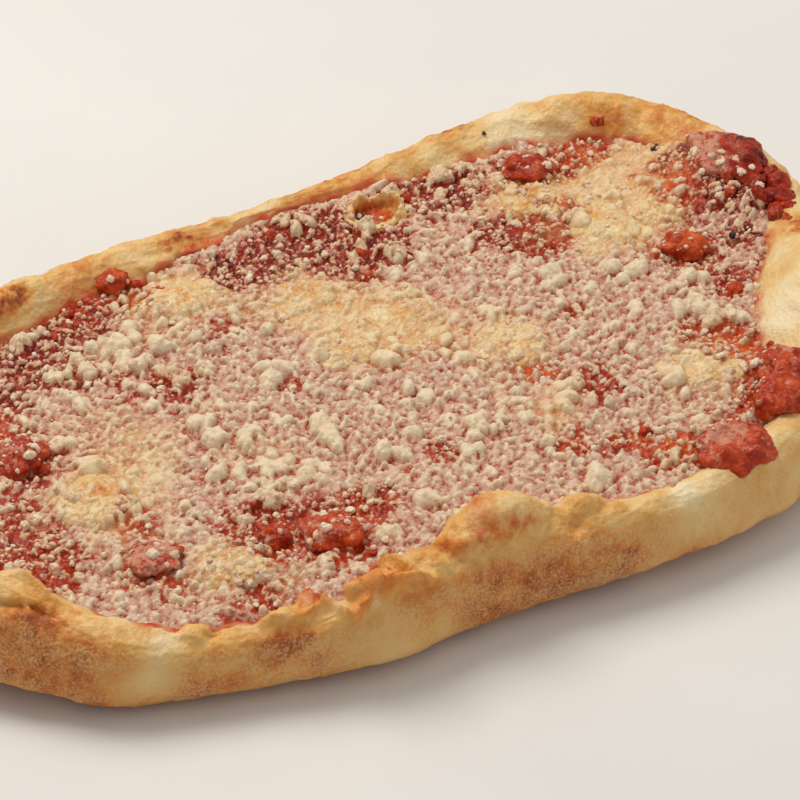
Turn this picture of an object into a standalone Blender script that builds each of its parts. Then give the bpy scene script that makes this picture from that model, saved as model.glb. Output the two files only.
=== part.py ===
"""Small oval cheese pizza: a risen flatbread with tomato sauce, melted cheese and grated cheese.

It rests on the XY plane with +Z up and its long axis along X. The tables and the named
sizes are in millimetres, and MM turns them into Blender's metres.
"""

import math
import random

import bmesh
import bpy
import numpy as np
from mathutils import Euler, Vector, noise

MM = 0.001

# ---------------------------------------------------------------- driving dimensions, mm
DOUGH_FLOOR = 12.0  # top of the dough under the sauce
WIDEST_HEIGHT = 7.5  # height at which the side of the dough stands out furthest
CREST_HEIGHT = 17.0  # top of the rim where nothing lifts or lowers it
CREST_INSET = 5.0  # from the widest line in to the top of the rim
FLOOR_INSET = 14.0  # from the widest line in to where the inner slope ends
FOOT_INSET = 8.0  # from the widest line in to the flat of the underside
FOOT_LIFT = 1.4  # how far the baked lower edge curls off the table
SAUCE_LEVEL = 15.3  # mean height of the sauce
FIT_GAP = 0.35  # left between pieces that touch
COLUMNS = 132  # sections round the dough
SPAN_POINTS = 40  # points on the smooth outline between two of its knots
SIDE_ANGLES = (-62, -38, -14, 12, 36, 58, 76, 90)  # rings round the outside, crest last
SLOPE_SHARES = (0.22, 0.45, 0.7, 1.0)  # rings down the inner slope, floor last
LID_HEIGHT = 40.0  # top of the shape that trims the sauce, above everything
FOOT_WIDTH = 6.0  # band round the underside that curls up off the table
UNDERSIDE_SHARE = 0.55  # ring between the middle of the underside and its curled band
FLOOR_SHARE = 0.5  # ring between the middle of the dough floor and the foot of the slope
CURL_SHARE = 0.7  # ring half way out along the curled band
TOE_FULLNESS = 0.7  # powers under 1 swell a section out past a plain quarter of an ellipse
SHOULDER_FULLNESS = 0.9
DOME_FULLNESS = 0.7
SHEET_LENGTH = 226.0  # sheet of sauce before it is trimmed to the hollow
SHEET_WIDTH = 132.0
SHEET_DEPTH = 9.0
SHEET_CELLS = (40, 23)
CHEESE_SINK = 0.2  # middle of a pool of melted cheese above the sauce
BLISTER_ROOT = 2.0  # how far the blister reaches into the dough under it
BLISTER_SEED = 5
DENTS = 1.6  # dents across half a lump
PIECE_DENT = 0.3  # depth of the dents as a share of the piece
BLISTER_DENT = 0.2
POOL_SIDES = 12
POOL_RINGS = 6
POOL_RIPPLES = 1.5  # waves of a pool's edge across half its length
POOL_WAVINESS = 0.28  # how far they reach as a share of its size
TOMATO_SEED = 40

# The widest line of the dough, anticlockwise from the right end.
OUTLINE = (
    (111, 17), (109, 31), (103, 46), (92, 57), (72, 63.5), (45, 63.5), (10, 64.5), (-25, 66),
    (-55, 64.5), (-84, 56), (-104, 38), (-112, 15), (-109.5, -7), (-99, -25), (-84, -39.5),
    (-58, -51.5), (-38, -58), (-10, -60), (28, -66), (54, -64), (72, -55), (86, -42), (96, -27),
    (104, -11), (109, 3),
)

# Smooth lumps and dents of a surface: distance between lumps, height, seed.
SIDE_SWELLS = ((17, 1.2, 21), (7, 0.5, 22))
TOP_LUMPS = ((9, 0.7, 31),)
SAUCE_LUMPS = ((15, 0.9, 3), (6, 0.45, 8))

# The folded and blistered front rim, where sections stand closer: x, y, reach, extra share.
FOLDED_FRONT = (-22, -56, 30, 1.1)

# Smooth changes round the rim: x, y, reach, change.
CREST_CHANGES = (
    (-93, -20, 13, 3.6),  # thick toasted corner
    (-68, -43, 9, -2.6),  # low place where the sauce comes to the edge
    (-52, -50, 9, -1.2),
    (-32, -54, 10, 0.8),  # folds
    (-8, -54, 13, 2.4),  # under the large bubble
    (24, -60, 14, 0.8),
    (52, -58, 16, 2.2),
    (84, -30, 22, 4.2),  # pale swelling at the right
    (106, 12, 15, 2.6),
    (92, 50, 20, 4.0),  # thick back corner
    (55, 60, 18, 2.4),
    (14, 60, 16, 0.8),
    (-24, 60, 16, 2.4),
    (-54, 58, 20, 3.6),
    (-96, 30, 30, 3.0),
)
CREST_INSET_CHANGES = (
    (-93, -20, 13, 4.0),
    (-8, -54, 13, 2.0),
    (84, -30, 24, 5.0),
    (92, 46, 24, 2.5),
    (-54, 58, 22, 2.0),
    (-100, 20, 26, 3.0),
)
FLOOR_INSET_CHANGES = (
    (-88, -20, 14, 6.0),
    (-66, -43, 10, -4.0),
    (-8, -54, 12, 5.0),
    (84, -30, 26, 14.0),
    (98, 30, 26, 10.0),
    (62, 58, 18, 5.0),
    (14, 60, 13, -3.0),
    (-30, 58, 16, 3.0),
    (-98, 20, 34, 8.0),
)
LIFT_CHANGES = (
    (-104, -22, 16, 2.6),
    (-80, -42, 9, -1.2),
    (-40, -58, 12, 1.0),
    (36, -66, 22, 2.6),
    (96, -26, 30, 1.0),
)
SAUCE_CHANGES = (
    (-70, -36, 9, -1.2),
    (-56, -42, 8, -0.7),
    (14, 54, 12, 1.2),
    (30, 0, 40, 0.6),
    (-76, 16, 12, 0.5),
)

# Oven bubbles in the rim: x, y, half length, half width, turn in degrees, height.
BUBBLES = (
    (-9.5, -49.5, 12.5, 9.0, 0, 6.4),
    (7.5, -52, 7.0, 6.0, 0, 3.6),
    (-26, -50, 8, 5, -30, 1.8),
    (-91, -17, 10, 8, 60, 1.6),
    (-67, -41, 3.2, 3.0, 0, 1.6),
    (82, -27, 19, 12, 52, 3.4),
    (84, 48, 12, 8, -30, 2.0),
    (-50, 56, 12, 8, 0, 1.4),
)

# Folds and creases of the rim: x, y at one end, x, y at the other, half width, height.
FOLDS = (
    (-51, -47, -43, -45.5, 2.2, 1.6),
    (-40, -51.5, -25, -49.5, 2.6, 1.8),
    (-41, -46.5, -36, -45.5, 2.6, -1.6),
    (4.5, -48, 4, -58, 1.8, -1.8),
    (-94, -14, -86, -18, 2.4, 1.4),
    (-86, -18, -80, -26, 2.4, 1.4),
    (80, 52, 90, 44, 3.0, 1.4),
)

# A burst blister stands up out of the sauce: x, y, half length, half width, top height.
BLISTER = (29.5, 46.5, 7.2, 6.0, 19.6)

# Melted cheese: x, y, half length, half width, turn in degrees, rise above the sauce.
MELTED_CHEESE = (
    (60.5, 32, 8.0, 5.2, -48, 1.8),
    (66.5, 17.5, 6.5, 9.0, -20, 2.2),
    (79.5, 14.5, 6.5, 5.0, -34, 1.8),
    (15.5, 14, 7.5, 6.0, -20, 1.2),
    (1.5, 31, 7.5, 5.0, -10, 1.2),
    (-1.5, 11.5, 6.5, 5.0, -34, 1.4),
    (27.5, -5, 7.5, 7.0, -34, 1.6),
    (-64, -2.5, 7.5, 7.0, -10, 2.6),
    (-52.5, -32, 7.6, 5.0, -30, 2.2),
    (-19, 44, 10.0, 6.0, -10, 2.4),
    (54, -31.5, 8.0, 7.0, -34, 1.2),
)

# Tomato pieces: x, y, half length, half width, half height, turn in degrees, middle height.
TOMATO_PIECES = (
    (41, -57.5, 7.6, 6.2, 3.8, -30, 18.2),
    (57.5, -51.5, 5.0, 5.6, 4.4, 10, 19.0),
    (66, -44, 6.5, 7.0, 3.4, 40, 17.6),
    (75, 1, 4.6, 3.6, 2.6, -34, 17.2),
    (99, 17, 7.0, 9.0, 4.0, 15, 20.6),
    (-33.5, -34, 6.0, 4.6, 3.2, -25, 16.6),
    (-42.5, -28, 3.2, 2.8, 2.2, 0, 16.0),
    (-71, 16, 5.5, 5.0, 3.4, 20, 17.0),
    (64.5, 41.5, 5.5, 4.4, 2.8, -34, 17.0),
    (-64, -22.5, 5.0, 3.8, 2.4, -20, 16.4),
    (-28, 55, 3.6, 3.0, 2.2, 0, 17.4),
)

# The largest lumps of grated cheese: x, y.
LARGEST_CRUMBS = (
    (-17, -17), (-15, -25), (-28, -14), (-25, -22.5), (2, -27.5), (-8.5, -15), (-12, 2),
    (-12, 5), (9, -12), (16, -14), (7.5, -25), (-39, 4), (-53, 25), (-46, 18), (-55, -29),
    (77, -6.5), (82, -8.5), (60, 14), (70, -10), (48, -14), (34, -26), (26, -40),
)
CRUMB_HALF_SIZES = (2.0, 3.6)
CRUMB_WIDTH_SHARES = (0.7, 1.0)
CRUMB_HEIGHT_SHARES = (0.6, 0.8)
CRUMB_COUNT = 50
CRUMB_SPACING = 7.0
CRUMB_SEED = 11
CRUMB_TO_PIECE = 4.2  # left between a lump's middle and the nearest larger topping
CRUMB_TO_RIM = 16.0  # left between a lump's middle and the widest line of the dough
CRUMB_FIELD_INSET = 0.85  # share of the inner slope at which the field of lumps ends
CRUMB_FIELD_SIZE = 0.8  # size of the squared oval that holds the lumps
CRUMB_LIFT = 0.25  # share of a lump's half height by which its middle clears the sauce
CRUMB_TRIES = 6000


# ---------------------------------------------------------------- form functions, mm
def closed_curve(knots, count, crowding):
    """Points along the smooth closed curve through the knots, closer where crowding is high."""
    knots = np.array(knots, float)
    share = np.linspace(0, 1, SPAN_POINTS, endpoint=False)[:, None]
    spans = []
    for i in range(len(knots)):
        a, b, c, d = (knots[(i + step) % len(knots)] for step in (-1, 0, 1, 2))
        spans.append(
            b
            + 0.5 * share * (c - a)
            + 0.5 * share**2 * (2 * a - 5 * b + 4 * c - d)
            + 0.5 * share**3 * (3 * (b - c) + d - a)
        )
    dense = np.concatenate(spans)
    dense -= (dense.min(axis=0) + dense.max(axis=0)) / 2
    ring = np.vstack([dense, dense[:1]])
    steps = np.linalg.norm(np.diff(ring, axis=0), axis=1) * crowding((ring[1:] + ring[:-1]) / 2)
    travelled = np.concatenate([[0], np.cumsum(steps)])
    at = np.linspace(0, travelled[-1], count, endpoint=False)
    return np.stack([np.interp(at, travelled, ring[:, axis]) for axis in (0, 1)], axis=1)


def changes(points, terms):
    """Sum of smooth rises and dips; each term is x, y, reach and height."""
    total = np.zeros(len(points))
    for x, y, reach, height in terms:
        square = (points[:, 0] - x) ** 2 + (points[:, 1] - y) ** 2
        total += height * np.exp(-square / (2 * reach**2))
    return total


def domes(points, terms):
    """Height of rounded oval domes; each term is x, y, half length, half width, turn and height."""
    total = np.zeros(len(points))
    for x, y, half_length, half_width, turn, height in terms:
        c, s = math.cos(math.radians(turn)), math.sin(math.radians(turn))
        along = ((points[:, 0] - x) * c + (points[:, 1] - y) * s) / half_length
        across = ((points[:, 1] - y) * c - (points[:, 0] - x) * s) / half_width
        total += height * np.clip(1 - along**2 - across**2, 0, 1) ** DOME_FULLNESS
    return total


def ridges(points, terms):
    """Height of rounded ridges and grooves that run from one end to the other."""
    total = np.zeros(len(points))
    for x0, y0, x1, y1, half_width, height in terms:
        run = np.array([x1 - x0, y1 - y0])
        share = np.clip((points[:, :2] - (x0, y0)) @ run / (run @ run), 0, 1)
        away = np.linalg.norm(points[:, :2] - (x0, y0) - share[:, None] * run, axis=1)
        total += height * np.exp(-((away / half_width) ** 2))
    return total


def unevenness(points, terms):
    """Sum of smooth noises; each term is the distance between lumps, their height and a seed."""
    total = np.zeros(len(points))
    for spacing, height, seed in terms:
        start = Vector((seed, 0, 0))
        total += [height * noise.noise(Vector(point) / spacing + start) for point in points]
    return total


def sections_crowd(points):
    """How closely sections stand: closer along the folded and blistered front rim."""
    return 1 + changes(points, (FOLDED_FRONT,))


def sauce_height(points):
    """Height of the sauce under each point, without its toppings."""
    flat = np.column_stack([points[:, :2], np.zeros(len(points))])
    return SAUCE_LEVEL + changes(points, SAUCE_CHANGES) + unevenness(flat, SAUCE_LUMPS)


class Rim:
    """Sections of the dough, all round: every ring method gives one point for each section."""

    def __init__(self):
        self.edge = closed_curve(OUTLINE, COLUMNS, sections_crowd)
        along = np.roll(self.edge, -1, axis=0) - np.roll(self.edge, 1, axis=0)
        along /= np.linalg.norm(along, axis=1)[:, None]
        self.inward = np.stack([-along[:, 1], along[:, 0]], axis=1)
        self.crest = CREST_HEIGHT + changes(self.edge, CREST_CHANGES)
        self.crest_inset = CREST_INSET + changes(self.edge, CREST_INSET_CHANGES)
        self.floor_inset = FLOOR_INSET + changes(self.edge, FLOOR_INSET_CHANGES)
        self.lift = FOOT_LIFT + changes(self.edge, LIFT_CHANGES)

    def place(self, inset, height):
        """A ring set in from the widest line, at one height or one for each section."""
        flat = self.edge + self.inward * np.broadcast_to(inset, len(self.edge))[:, None]
        return np.column_stack([flat, np.broadcast_to(height, len(self.edge))])

    def underside(self, share):
        """Flat rings of the underside, from the middle out to the foot."""
        foot = self.place(FOOT_INSET + FOOT_WIDTH, 0)
        return foot * [share, share, 0]

    def foot(self, share):
        """Rings that curl up off the table, from the flat out to the lower edge."""
        half_lift = self.lift / 2
        return self.place(FOOT_INSET + FOOT_WIDTH * (1 - share), half_lift * share**2)

    def side(self, angle):
        """Rings round the outside, from below the widest line up to the crest."""
        turn = math.radians(angle)
        if angle < 0:
            inset = FOOT_INSET * (1 - math.cos(turn) ** TOE_FULLNESS)
            low = self.lift * (1 + math.cos(turn)) / 2
            height = WIDEST_HEIGHT + (WIDEST_HEIGHT - low) * math.sin(turn)
        else:
            inset = self.crest_inset * (1 - math.cos(turn) ** SHOULDER_FULLNESS)
            height = WIDEST_HEIGHT + (self.crest - WIDEST_HEIGHT) * math.sin(turn)
        ring = self.place(inset, height)
        swell = unevenness(ring, SIDE_SWELLS) * math.cos(turn)
        ring[:, :2] -= self.inward * swell[:, None]
        ring[:, 2] += max(math.sin(turn), 0) ** 2 * self.top_relief(ring)
        return ring

    def slope(self, share, clearance=0.0):
        """Rings down the inner slope, from the crest to the dough floor."""
        inset = self.crest_inset + (self.floor_inset - self.crest_inset) * share
        drop = (1 + math.cos(math.pi * share)) / 2
        ring = self.place(inset, DOUGH_FLOOR + (self.crest - DOUGH_FLOOR) * drop)
        ring[:, 2] += self.top_relief(ring) * min(1, 4 * (1 - share))
        ring[:, 2] += clearance
        return ring

    def top_relief(self, ring):
        return domes(ring, BUBBLES) + ridges(ring, FOLDS) + unevenness(ring, TOP_LUMPS)


# ---------------------------------------------------------------- mesh helpers
def new_object(bm, name, collection):
    mesh = bpy.data.meshes.new(name)
    bm.to_mesh(mesh)
    bm.free()
    obj = bpy.data.objects.new(name, mesh)
    collection.objects.link(obj)
    return obj


def skin_of_rings(rings, first, last, name, collection, inside_out=False):
    """A sphere primitive whose poles and rings of vertices are moved to the given places."""
    levels = len(rings) + 1
    bm = bmesh.new()
    bmesh.ops.create_uvsphere(bm, u_segments=COLUMNS, v_segments=levels, radius=1.0)
    for vertex in bm.verts:
        level = round(math.acos(max(-1, min(1, -vertex.co.z))) / math.pi * levels)
        if level in (0, levels):
            vertex.co = Vector(first if level == 0 else last) * MM
            continue
        turn = math.atan2(vertex.co.y, vertex.co.x) % (2 * math.pi)
        column = round(turn / (2 * math.pi) * COLUMNS) % COLUMNS
        vertex.co = Vector(rings[level - 1][column]) * MM
    bmesh.ops.triangulate(bm, faces=bm.faces, quad_method="SHORT_EDGE")
    if inside_out:
        bmesh.ops.reverse_faces(bm, faces=bm.faces)
    return new_object(bm, name, collection)


def lump(name, collection, middle, half_sizes, turn, detail, roughness, seed):
    """A rounded, slightly uneven lump: an icosphere stretched, dented and turned."""
    bm = bmesh.new()
    bmesh.ops.create_icosphere(bm, subdivisions=detail, radius=1.0)
    spin = Euler((0, 0, math.radians(turn))).to_matrix()
    for vertex in bm.verts:
        dent = 1 + roughness * noise.noise(vertex.co * DENTS + Vector((seed, seed * 0.7, 0)))
        local = Vector(c * h for c, h in zip(vertex.co, half_sizes)) * dent
        vertex.co = (spin @ local + Vector(middle)) * MM
    return new_object(bm, name, collection)


def oval_dome(name, collection, middle, half_sizes, turn, seed):
    """A flattened drop with a wavy edge, as cheese that melted where it fell."""
    bm = bmesh.new()
    bmesh.ops.create_uvsphere(bm, u_segments=POOL_SIDES, v_segments=POOL_RINGS, radius=1.0)
    spin = Euler((0, 0, math.radians(turn))).to_matrix()
    for vertex in bm.verts:
        edge = Vector((vertex.co.x, vertex.co.y, 0))
        ripple = noise.noise(edge * POOL_RIPPLES + Vector((seed * 2.3, 0, 0)))
        wave = 1 + POOL_WAVINESS * edge.length * ripple
        local = Vector(c * h for c, h in zip(vertex.co, half_sizes))
        local.x *= wave
        local.y *= wave
        vertex.co = (spin @ local + Vector(middle)) * MM
    return new_object(bm, name, collection)


def apply_modifiers(obj):
    graph = bpy.context.evaluated_depsgraph_get()
    graph.update()
    mesh = bpy.data.meshes.new_from_object(obj.evaluated_get(graph))
    obj.modifiers.clear()
    obj.data = mesh


def combine(obj, others, operation):
    """Joins or cuts with every object of the list, which is then removed."""
    group = bpy.data.collections.new("operands")
    bpy.context.scene.collection.children.link(group)
    for other in others:
        group.objects.link(other)
    boolean = obj.modifiers.new("combine", "BOOLEAN")
    boolean.operand_type = "COLLECTION"
    boolean.collection = group
    boolean.operation = operation
    boolean.solver = "MANIFOLD"
    apply_modifiers(obj)
    for other in others:
        bpy.data.objects.remove(other)
    bpy.data.collections.remove(group)


def keep_largest_piece(obj):
    """Drops loose scraps and fills sealed hollows by keeping only the largest shell."""
    bm = bmesh.new()
    bm.from_mesh(obj.data)
    unseen = set(bm.verts)
    shells = []
    while unseen:
        shell, edge_of_shell = set(), [unseen.pop()]
        while edge_of_shell:
            vertex = edge_of_shell.pop()
            shell.add(vertex)
            for edge in vertex.link_edges:
                other = edge.other_vert(vertex)
                if other in unseen:
                    unseen.remove(other)
                    edge_of_shell.append(other)
        shells.append(shell)
    largest = max(shells, key=len)
    scraps = [vertex for vertex in bm.verts if vertex not in largest]
    bmesh.ops.delete(bm, geom=scraps, context="VERTS")
    bm.to_mesh(obj.data)
    bm.free()


def food_material(name, colour, roughness):
    material = bpy.data.materials.new(name)
    material.use_nodes = True
    shader = material.node_tree.nodes["Principled BSDF"]
    shader.inputs["Base Color"].default_value = (*colour, 1)
    shader.inputs["Roughness"].default_value = roughness
    shader.inputs["Metallic"].default_value = 0.0
    material.diffuse_color = (*colour, 1)
    return material


def finish(obj, material, smooth_degrees=50):
    obj.data.materials.clear()
    obj.data.materials.append(material)
    obj.data.shade_smooth()
    obj.data.set_sharp_from_angle(angle=math.radians(smooth_degrees))


# ---------------------------------------------------------------- clear the scene
for old in list(bpy.data.objects):
    bpy.data.objects.remove(old)
scene = bpy.context.scene
pizza = bpy.data.collections.new("cheese_pizza")
scene.collection.children.link(pizza)
cutters = bpy.data.collections.new("cutters")
cutters.hide_render = True
scene.collection.children.link(cutters)

baked_dough = food_material("baked_dough", (0.68, 0.42, 0.19), 0.65)
cooked_tomato = food_material("cooked_tomato", (0.42, 0.035, 0.015), 0.35)
tomato_with_cheese = food_material("tomato_with_cheese", (0.60, 0.26, 0.18), 0.5)
melted_mozzarella = food_material("melted_mozzarella", (0.80, 0.58, 0.30), 0.4)


# ---------------------------------------------------------------- dough
def make_crust(rim):
    rings = [
        rim.underside(UNDERSIDE_SHARE),
        rim.foot(0.0),
        rim.foot(CURL_SHARE),
        *[rim.side(angle) for angle in SIDE_ANGLES],
        *[rim.slope(share) for share in SLOPE_SHARES],
    ]
    rings.append(rings[-1] * [FLOOR_SHARE, FLOOR_SHARE, 1])
    crust = skin_of_rings(rings, (0, 0, 0), (0, 0, DOUGH_FLOOR), "crust", pizza)
    combine(crust, [make_blister(0)], "UNION")
    return crust


def make_blister(grow):
    """The burst blister, or the room for it in the sauce where grow is the gap left round it."""
    x, y, half_length, half_width, top = BLISTER
    bottom = DOUGH_FLOOR - BLISTER_ROOT
    middle = (x, y, (top + bottom) / 2)
    half_sizes = (half_length + grow, half_width + grow, (top - bottom) / 2 + grow)
    return lump("blister", cutters, middle, half_sizes, 0, 2, BLISTER_DENT, BLISTER_SEED)


# ---------------------------------------------------------------- sauce with grated cheese
def make_sauce_sheet():
    """A sheet of sauce with low lumps, wider and deeper than the hollow of the dough."""
    bm = bmesh.new()
    along, across = SHEET_CELLS
    bmesh.ops.create_grid(bm, x_segments=along, y_segments=across, size=0.5)
    for vertex in bm.verts:
        vertex.co.x *= SHEET_LENGTH * MM
        vertex.co.y *= SHEET_WIDTH * MM
    sheet = new_object(bm, "tomato_sauce", pizza)
    points = np.array([vertex.co for vertex in sheet.data.vertices]) / MM
    for vertex, height in zip(sheet.data.vertices, sauce_height(points)):
        vertex.co.z = height * MM
    solidify = sheet.modifiers.new("depth", "SOLIDIFY")
    solidify.thickness = SHEET_DEPTH * MM
    solidify.offset = -1
    apply_modifiers(sheet)
    return sheet


def make_hollow(rim):
    """The space inside the rim, one gap clear of the dough: it trims the sauce to fit.

    Its rings run from the lid down to the floor, as they do on the dough, so that both
    skins split their quads alike and the gap between them is even.
    """
    rings = [rim.slope(share, FIT_GAP) for share in (0.0, *SLOPE_SHARES)]
    lid = rings[0].copy()
    lid[:, 2] = LID_HEIGHT
    middle = (0, 0, DOUGH_FLOOR + FIT_GAP)
    return skin_of_rings([lid, *rings], (0, 0, LID_HEIGHT), middle, "hollow", cutters, True)


def crumb_places(rim):
    """Places for the lumps of grated cheese: the largest first, then evenly spaced others."""
    draw = random.Random(CRUMB_SEED)
    taken = [(x, y, max(a, b)) for x, y, a, b, *_ in MELTED_CHEESE + TOMATO_PIECES + (BLISTER,)]
    inner = rim.edge + rim.inward * (rim.floor_inset * CRUMB_FIELD_INSET)[:, None]
    half_length, half_width = (inner.max(axis=0) - inner.min(axis=0)) / 2
    places = []

    def is_clear(x, y):
        far_from_pieces = all(
            math.dist((x, y), (a, b)) > size + CRUMB_TO_PIECE for a, b, size in taken
        )
        far_from_crumbs = all(math.dist((x, y), place) > CRUMB_SPACING for place in places)
        inside = (x / half_length) ** 4 + (y / half_width) ** 4 < CRUMB_FIELD_SIZE
        clear_of_rim = np.linalg.norm(rim.edge - (x, y), axis=1).min() > CRUMB_TO_RIM
        return far_from_pieces and far_from_crumbs and inside and clear_of_rim

    for place in LARGEST_CRUMBS:
        if is_clear(*place):
            places.append(place)
    tries = 0
    while len(places) < CRUMB_COUNT and tries < CRUMB_TRIES:
        tries += 1
        place = (draw.uniform(-half_length, half_length), draw.uniform(-half_width, half_width))
        if is_clear(*place):
            places.append(place)
    return places


def make_crumbs(rim):
    draw = random.Random(CRUMB_SEED + 1)
    crumbs = []
    for number, (x, y) in enumerate(crumb_places(rim)):
        half = draw.uniform(*CRUMB_HALF_SIZES)
        half_width = half * draw.uniform(*CRUMB_WIDTH_SHARES)
        half_height = half * draw.uniform(*CRUMB_HEIGHT_SHARES)
        sizes = (half, half_width, half_height)
        height = sauce_height(np.array([[x, y]]))[0] + CRUMB_LIFT * half_height
        turn = draw.uniform(0, 180)
        crumbs.append(lump("crumb", cutters, (x, y, height), sizes, turn, 1, PIECE_DENT, number))
    return crumbs


# ---------------------------------------------------------------- toppings
def topping_tools():
    """Every topping as (name, maker, arguments), so that it can be made again a little larger."""
    tools = []
    for number, (x, y, a, b, turn, rise) in enumerate(MELTED_CHEESE, 1):
        name = f"melted_cheese_{number:02d}"
        middle = (x, y, sauce_height(np.array([[x, y]]))[0] + CHEESE_SINK)
        tools.append((name, oval_dome, middle, (a, b, rise), (turn, number)))
    for number, (x, y, a, b, c, turn, height) in enumerate(TOMATO_PIECES, 1):
        name = f"tomato_piece_{number:02d}"
        shape = (turn, 2, PIECE_DENT, number + TOMATO_SEED)
        tools.append((name, lump, (x, y, height), (a, b, c), shape))
    return tools


def make_toppings(tools, grow, collection):
    """The toppings themselves, or the recesses for them where grow is the gap left round them."""
    made = []
    for name, maker, middle, half_sizes, shape in tools:
        sizes = tuple(size + grow for size in half_sizes)
        made.append(maker(name if grow == 0 else "recess", collection, middle, sizes, *shape))
    return made


# ---------------------------------------------------------------- build
rim = Rim()
crust = make_crust(rim)
sauce = make_sauce_sheet()
combine(sauce, make_crumbs(rim), "UNION")
combine(sauce, [make_hollow(rim)], "INTERSECT")
tools = topping_tools()
recesses = make_toppings(tools, FIT_GAP, cutters)
combine(sauce, [make_blister(FIT_GAP), *recesses], "DIFFERENCE")
combine(crust, make_toppings(tools, FIT_GAP, cutters), "DIFFERENCE")
keep_largest_piece(crust)
keep_largest_piece(sauce)
finish(crust, baked_dough)
finish(sauce, tomato_with_cheese)
for piece in make_toppings(tools, 0, pizza):
    finish(piece, melted_mozzarella if piece.name.startswith("melted") else cooked_tomato)
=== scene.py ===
# %% [markdown]
# # A small oval cheese pizza
# This file dresses the solid model of a hand-stretched flatbread pizza: risen dough with
# a blistered rim, tomato sauce, melted cheese, and hard cheese grated into soft crumbs.
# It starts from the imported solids, which fix every place and size. Each step first says
# what the piece is on the real food, and then makes it.

import math
import random

import bmesh
import bpy
import numpy as np
from mathutils import Euler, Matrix, Vector, kdtree, noise
from mathutils.bvhtree import BVHTree


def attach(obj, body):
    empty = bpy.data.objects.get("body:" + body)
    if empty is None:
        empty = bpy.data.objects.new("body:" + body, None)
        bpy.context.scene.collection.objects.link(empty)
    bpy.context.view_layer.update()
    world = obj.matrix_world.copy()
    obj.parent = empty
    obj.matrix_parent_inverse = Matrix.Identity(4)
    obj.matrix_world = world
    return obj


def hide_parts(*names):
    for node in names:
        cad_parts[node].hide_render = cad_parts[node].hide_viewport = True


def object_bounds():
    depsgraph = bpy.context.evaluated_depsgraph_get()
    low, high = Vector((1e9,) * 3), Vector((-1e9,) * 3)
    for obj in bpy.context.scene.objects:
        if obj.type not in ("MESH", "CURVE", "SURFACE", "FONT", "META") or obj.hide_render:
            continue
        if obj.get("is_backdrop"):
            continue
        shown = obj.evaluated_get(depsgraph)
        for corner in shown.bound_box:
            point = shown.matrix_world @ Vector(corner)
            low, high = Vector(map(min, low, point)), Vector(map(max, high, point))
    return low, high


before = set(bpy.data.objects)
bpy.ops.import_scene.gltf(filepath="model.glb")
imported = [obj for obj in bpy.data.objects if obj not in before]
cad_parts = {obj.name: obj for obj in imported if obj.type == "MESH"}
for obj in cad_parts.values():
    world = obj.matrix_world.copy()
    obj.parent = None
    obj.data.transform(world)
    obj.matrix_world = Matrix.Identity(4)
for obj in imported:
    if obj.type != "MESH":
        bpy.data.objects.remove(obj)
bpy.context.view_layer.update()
MM = 0.001
print("solids loaded:", len(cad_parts))

# %% [markdown]
# ## The camera
# A long lens stands close to two thirds of a metre away and looks down at the pizza from
# its front left. It comes first, because everything after it is judged through it.

# %% Camera
CAMERA_AZIMUTH = -34.0
CAMERA_ELEVATION = 38.0
CAMERA_DISTANCE = 0.640
CAMERA_LENS = 149.76
AIM = Vector((0.0, -0.0065, 0.015))


def away_from_aim(azimuth, elevation):
    """Direction from the pizza to something that stands round it, as angles in degrees."""
    a, e = math.radians(azimuth), math.radians(elevation)
    return Vector((math.sin(a) * math.cos(e), -math.cos(a) * math.cos(e), math.sin(e)))


camera = bpy.data.objects.new("camera", bpy.data.cameras.new("camera"))
bpy.context.scene.collection.objects.link(camera)
back = away_from_aim(CAMERA_AZIMUTH, CAMERA_ELEVATION)
camera.location = AIM + back * CAMERA_DISTANCE
camera.rotation_euler = (-back).to_track_quat("-Z", "Y").to_euler()
camera.data.lens = CAMERA_LENS
camera.data.sensor_width = 36.0
camera.data.clip_start = 0.05
bpy.context.scene.camera = camera
print("camera at", [round(v, 3) for v in camera.location])

# %% [markdown]
# ## The sizes of the dough
# These are the sizes of the solid model, in millimetres. They are repeated here because
# the finer skins of the dough and sauce must keep the solids' form. The outline is the
# line where the side of the dough stands out furthest, read from above.

# %% Sizes of the dough
DOUGH_FLOOR = 12.0
WIDEST_HEIGHT = 7.5
CREST_HEIGHT = 17.0
CREST_INSET = 5.0
FLOOR_INSET = 14.0
FOOT_INSET = 8.0
FOOT_LIFT = 1.4
SAUCE_LEVEL = 15.3
FOOT_WIDTH = 6.0
TOE_FULLNESS = 0.7
SHOULDER_FULLNESS = 0.9
DOME_FULLNESS = 0.7
OUTLINE = (
    (111, 17), (109, 31), (103, 46), (92, 57), (72, 63.5), (45, 63.5), (10, 64.5), (-25, 66),
    (-55, 64.5), (-84, 56), (-104, 38), (-112, 15), (-109.5, -7), (-99, -25), (-84, -39.5),
    (-58, -51.5), (-38, -58), (-10, -60), (28, -66), (54, -64), (72, -55), (86, -42), (96, -27),
    (104, -11), (109, 3),
)
SIDE_SWELLS = ((17, 1.2, 21), (7, 0.5, 22))
TOP_LUMPS = ((9, 0.7, 31),)
SAUCE_LUMPS = ((15, 0.9, 3), (6, 0.45, 8))
CREST_CHANGES = (
    (-93, -20, 13, 3.6), (-68, -43, 9, -2.6), (-52, -50, 9, -1.2), (-32, -54, 10, 0.8),
    (-8, -54, 13, 2.4), (24, -60, 14, 0.8), (52, -58, 16, 2.2), (84, -30, 22, 4.2),
    (106, 12, 15, 2.6), (92, 50, 20, 4.0), (55, 60, 18, 2.4), (14, 60, 16, 0.8),
    (-24, 60, 16, 2.4), (-54, 58, 20, 3.6), (-96, 30, 30, 3.0),
)
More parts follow.
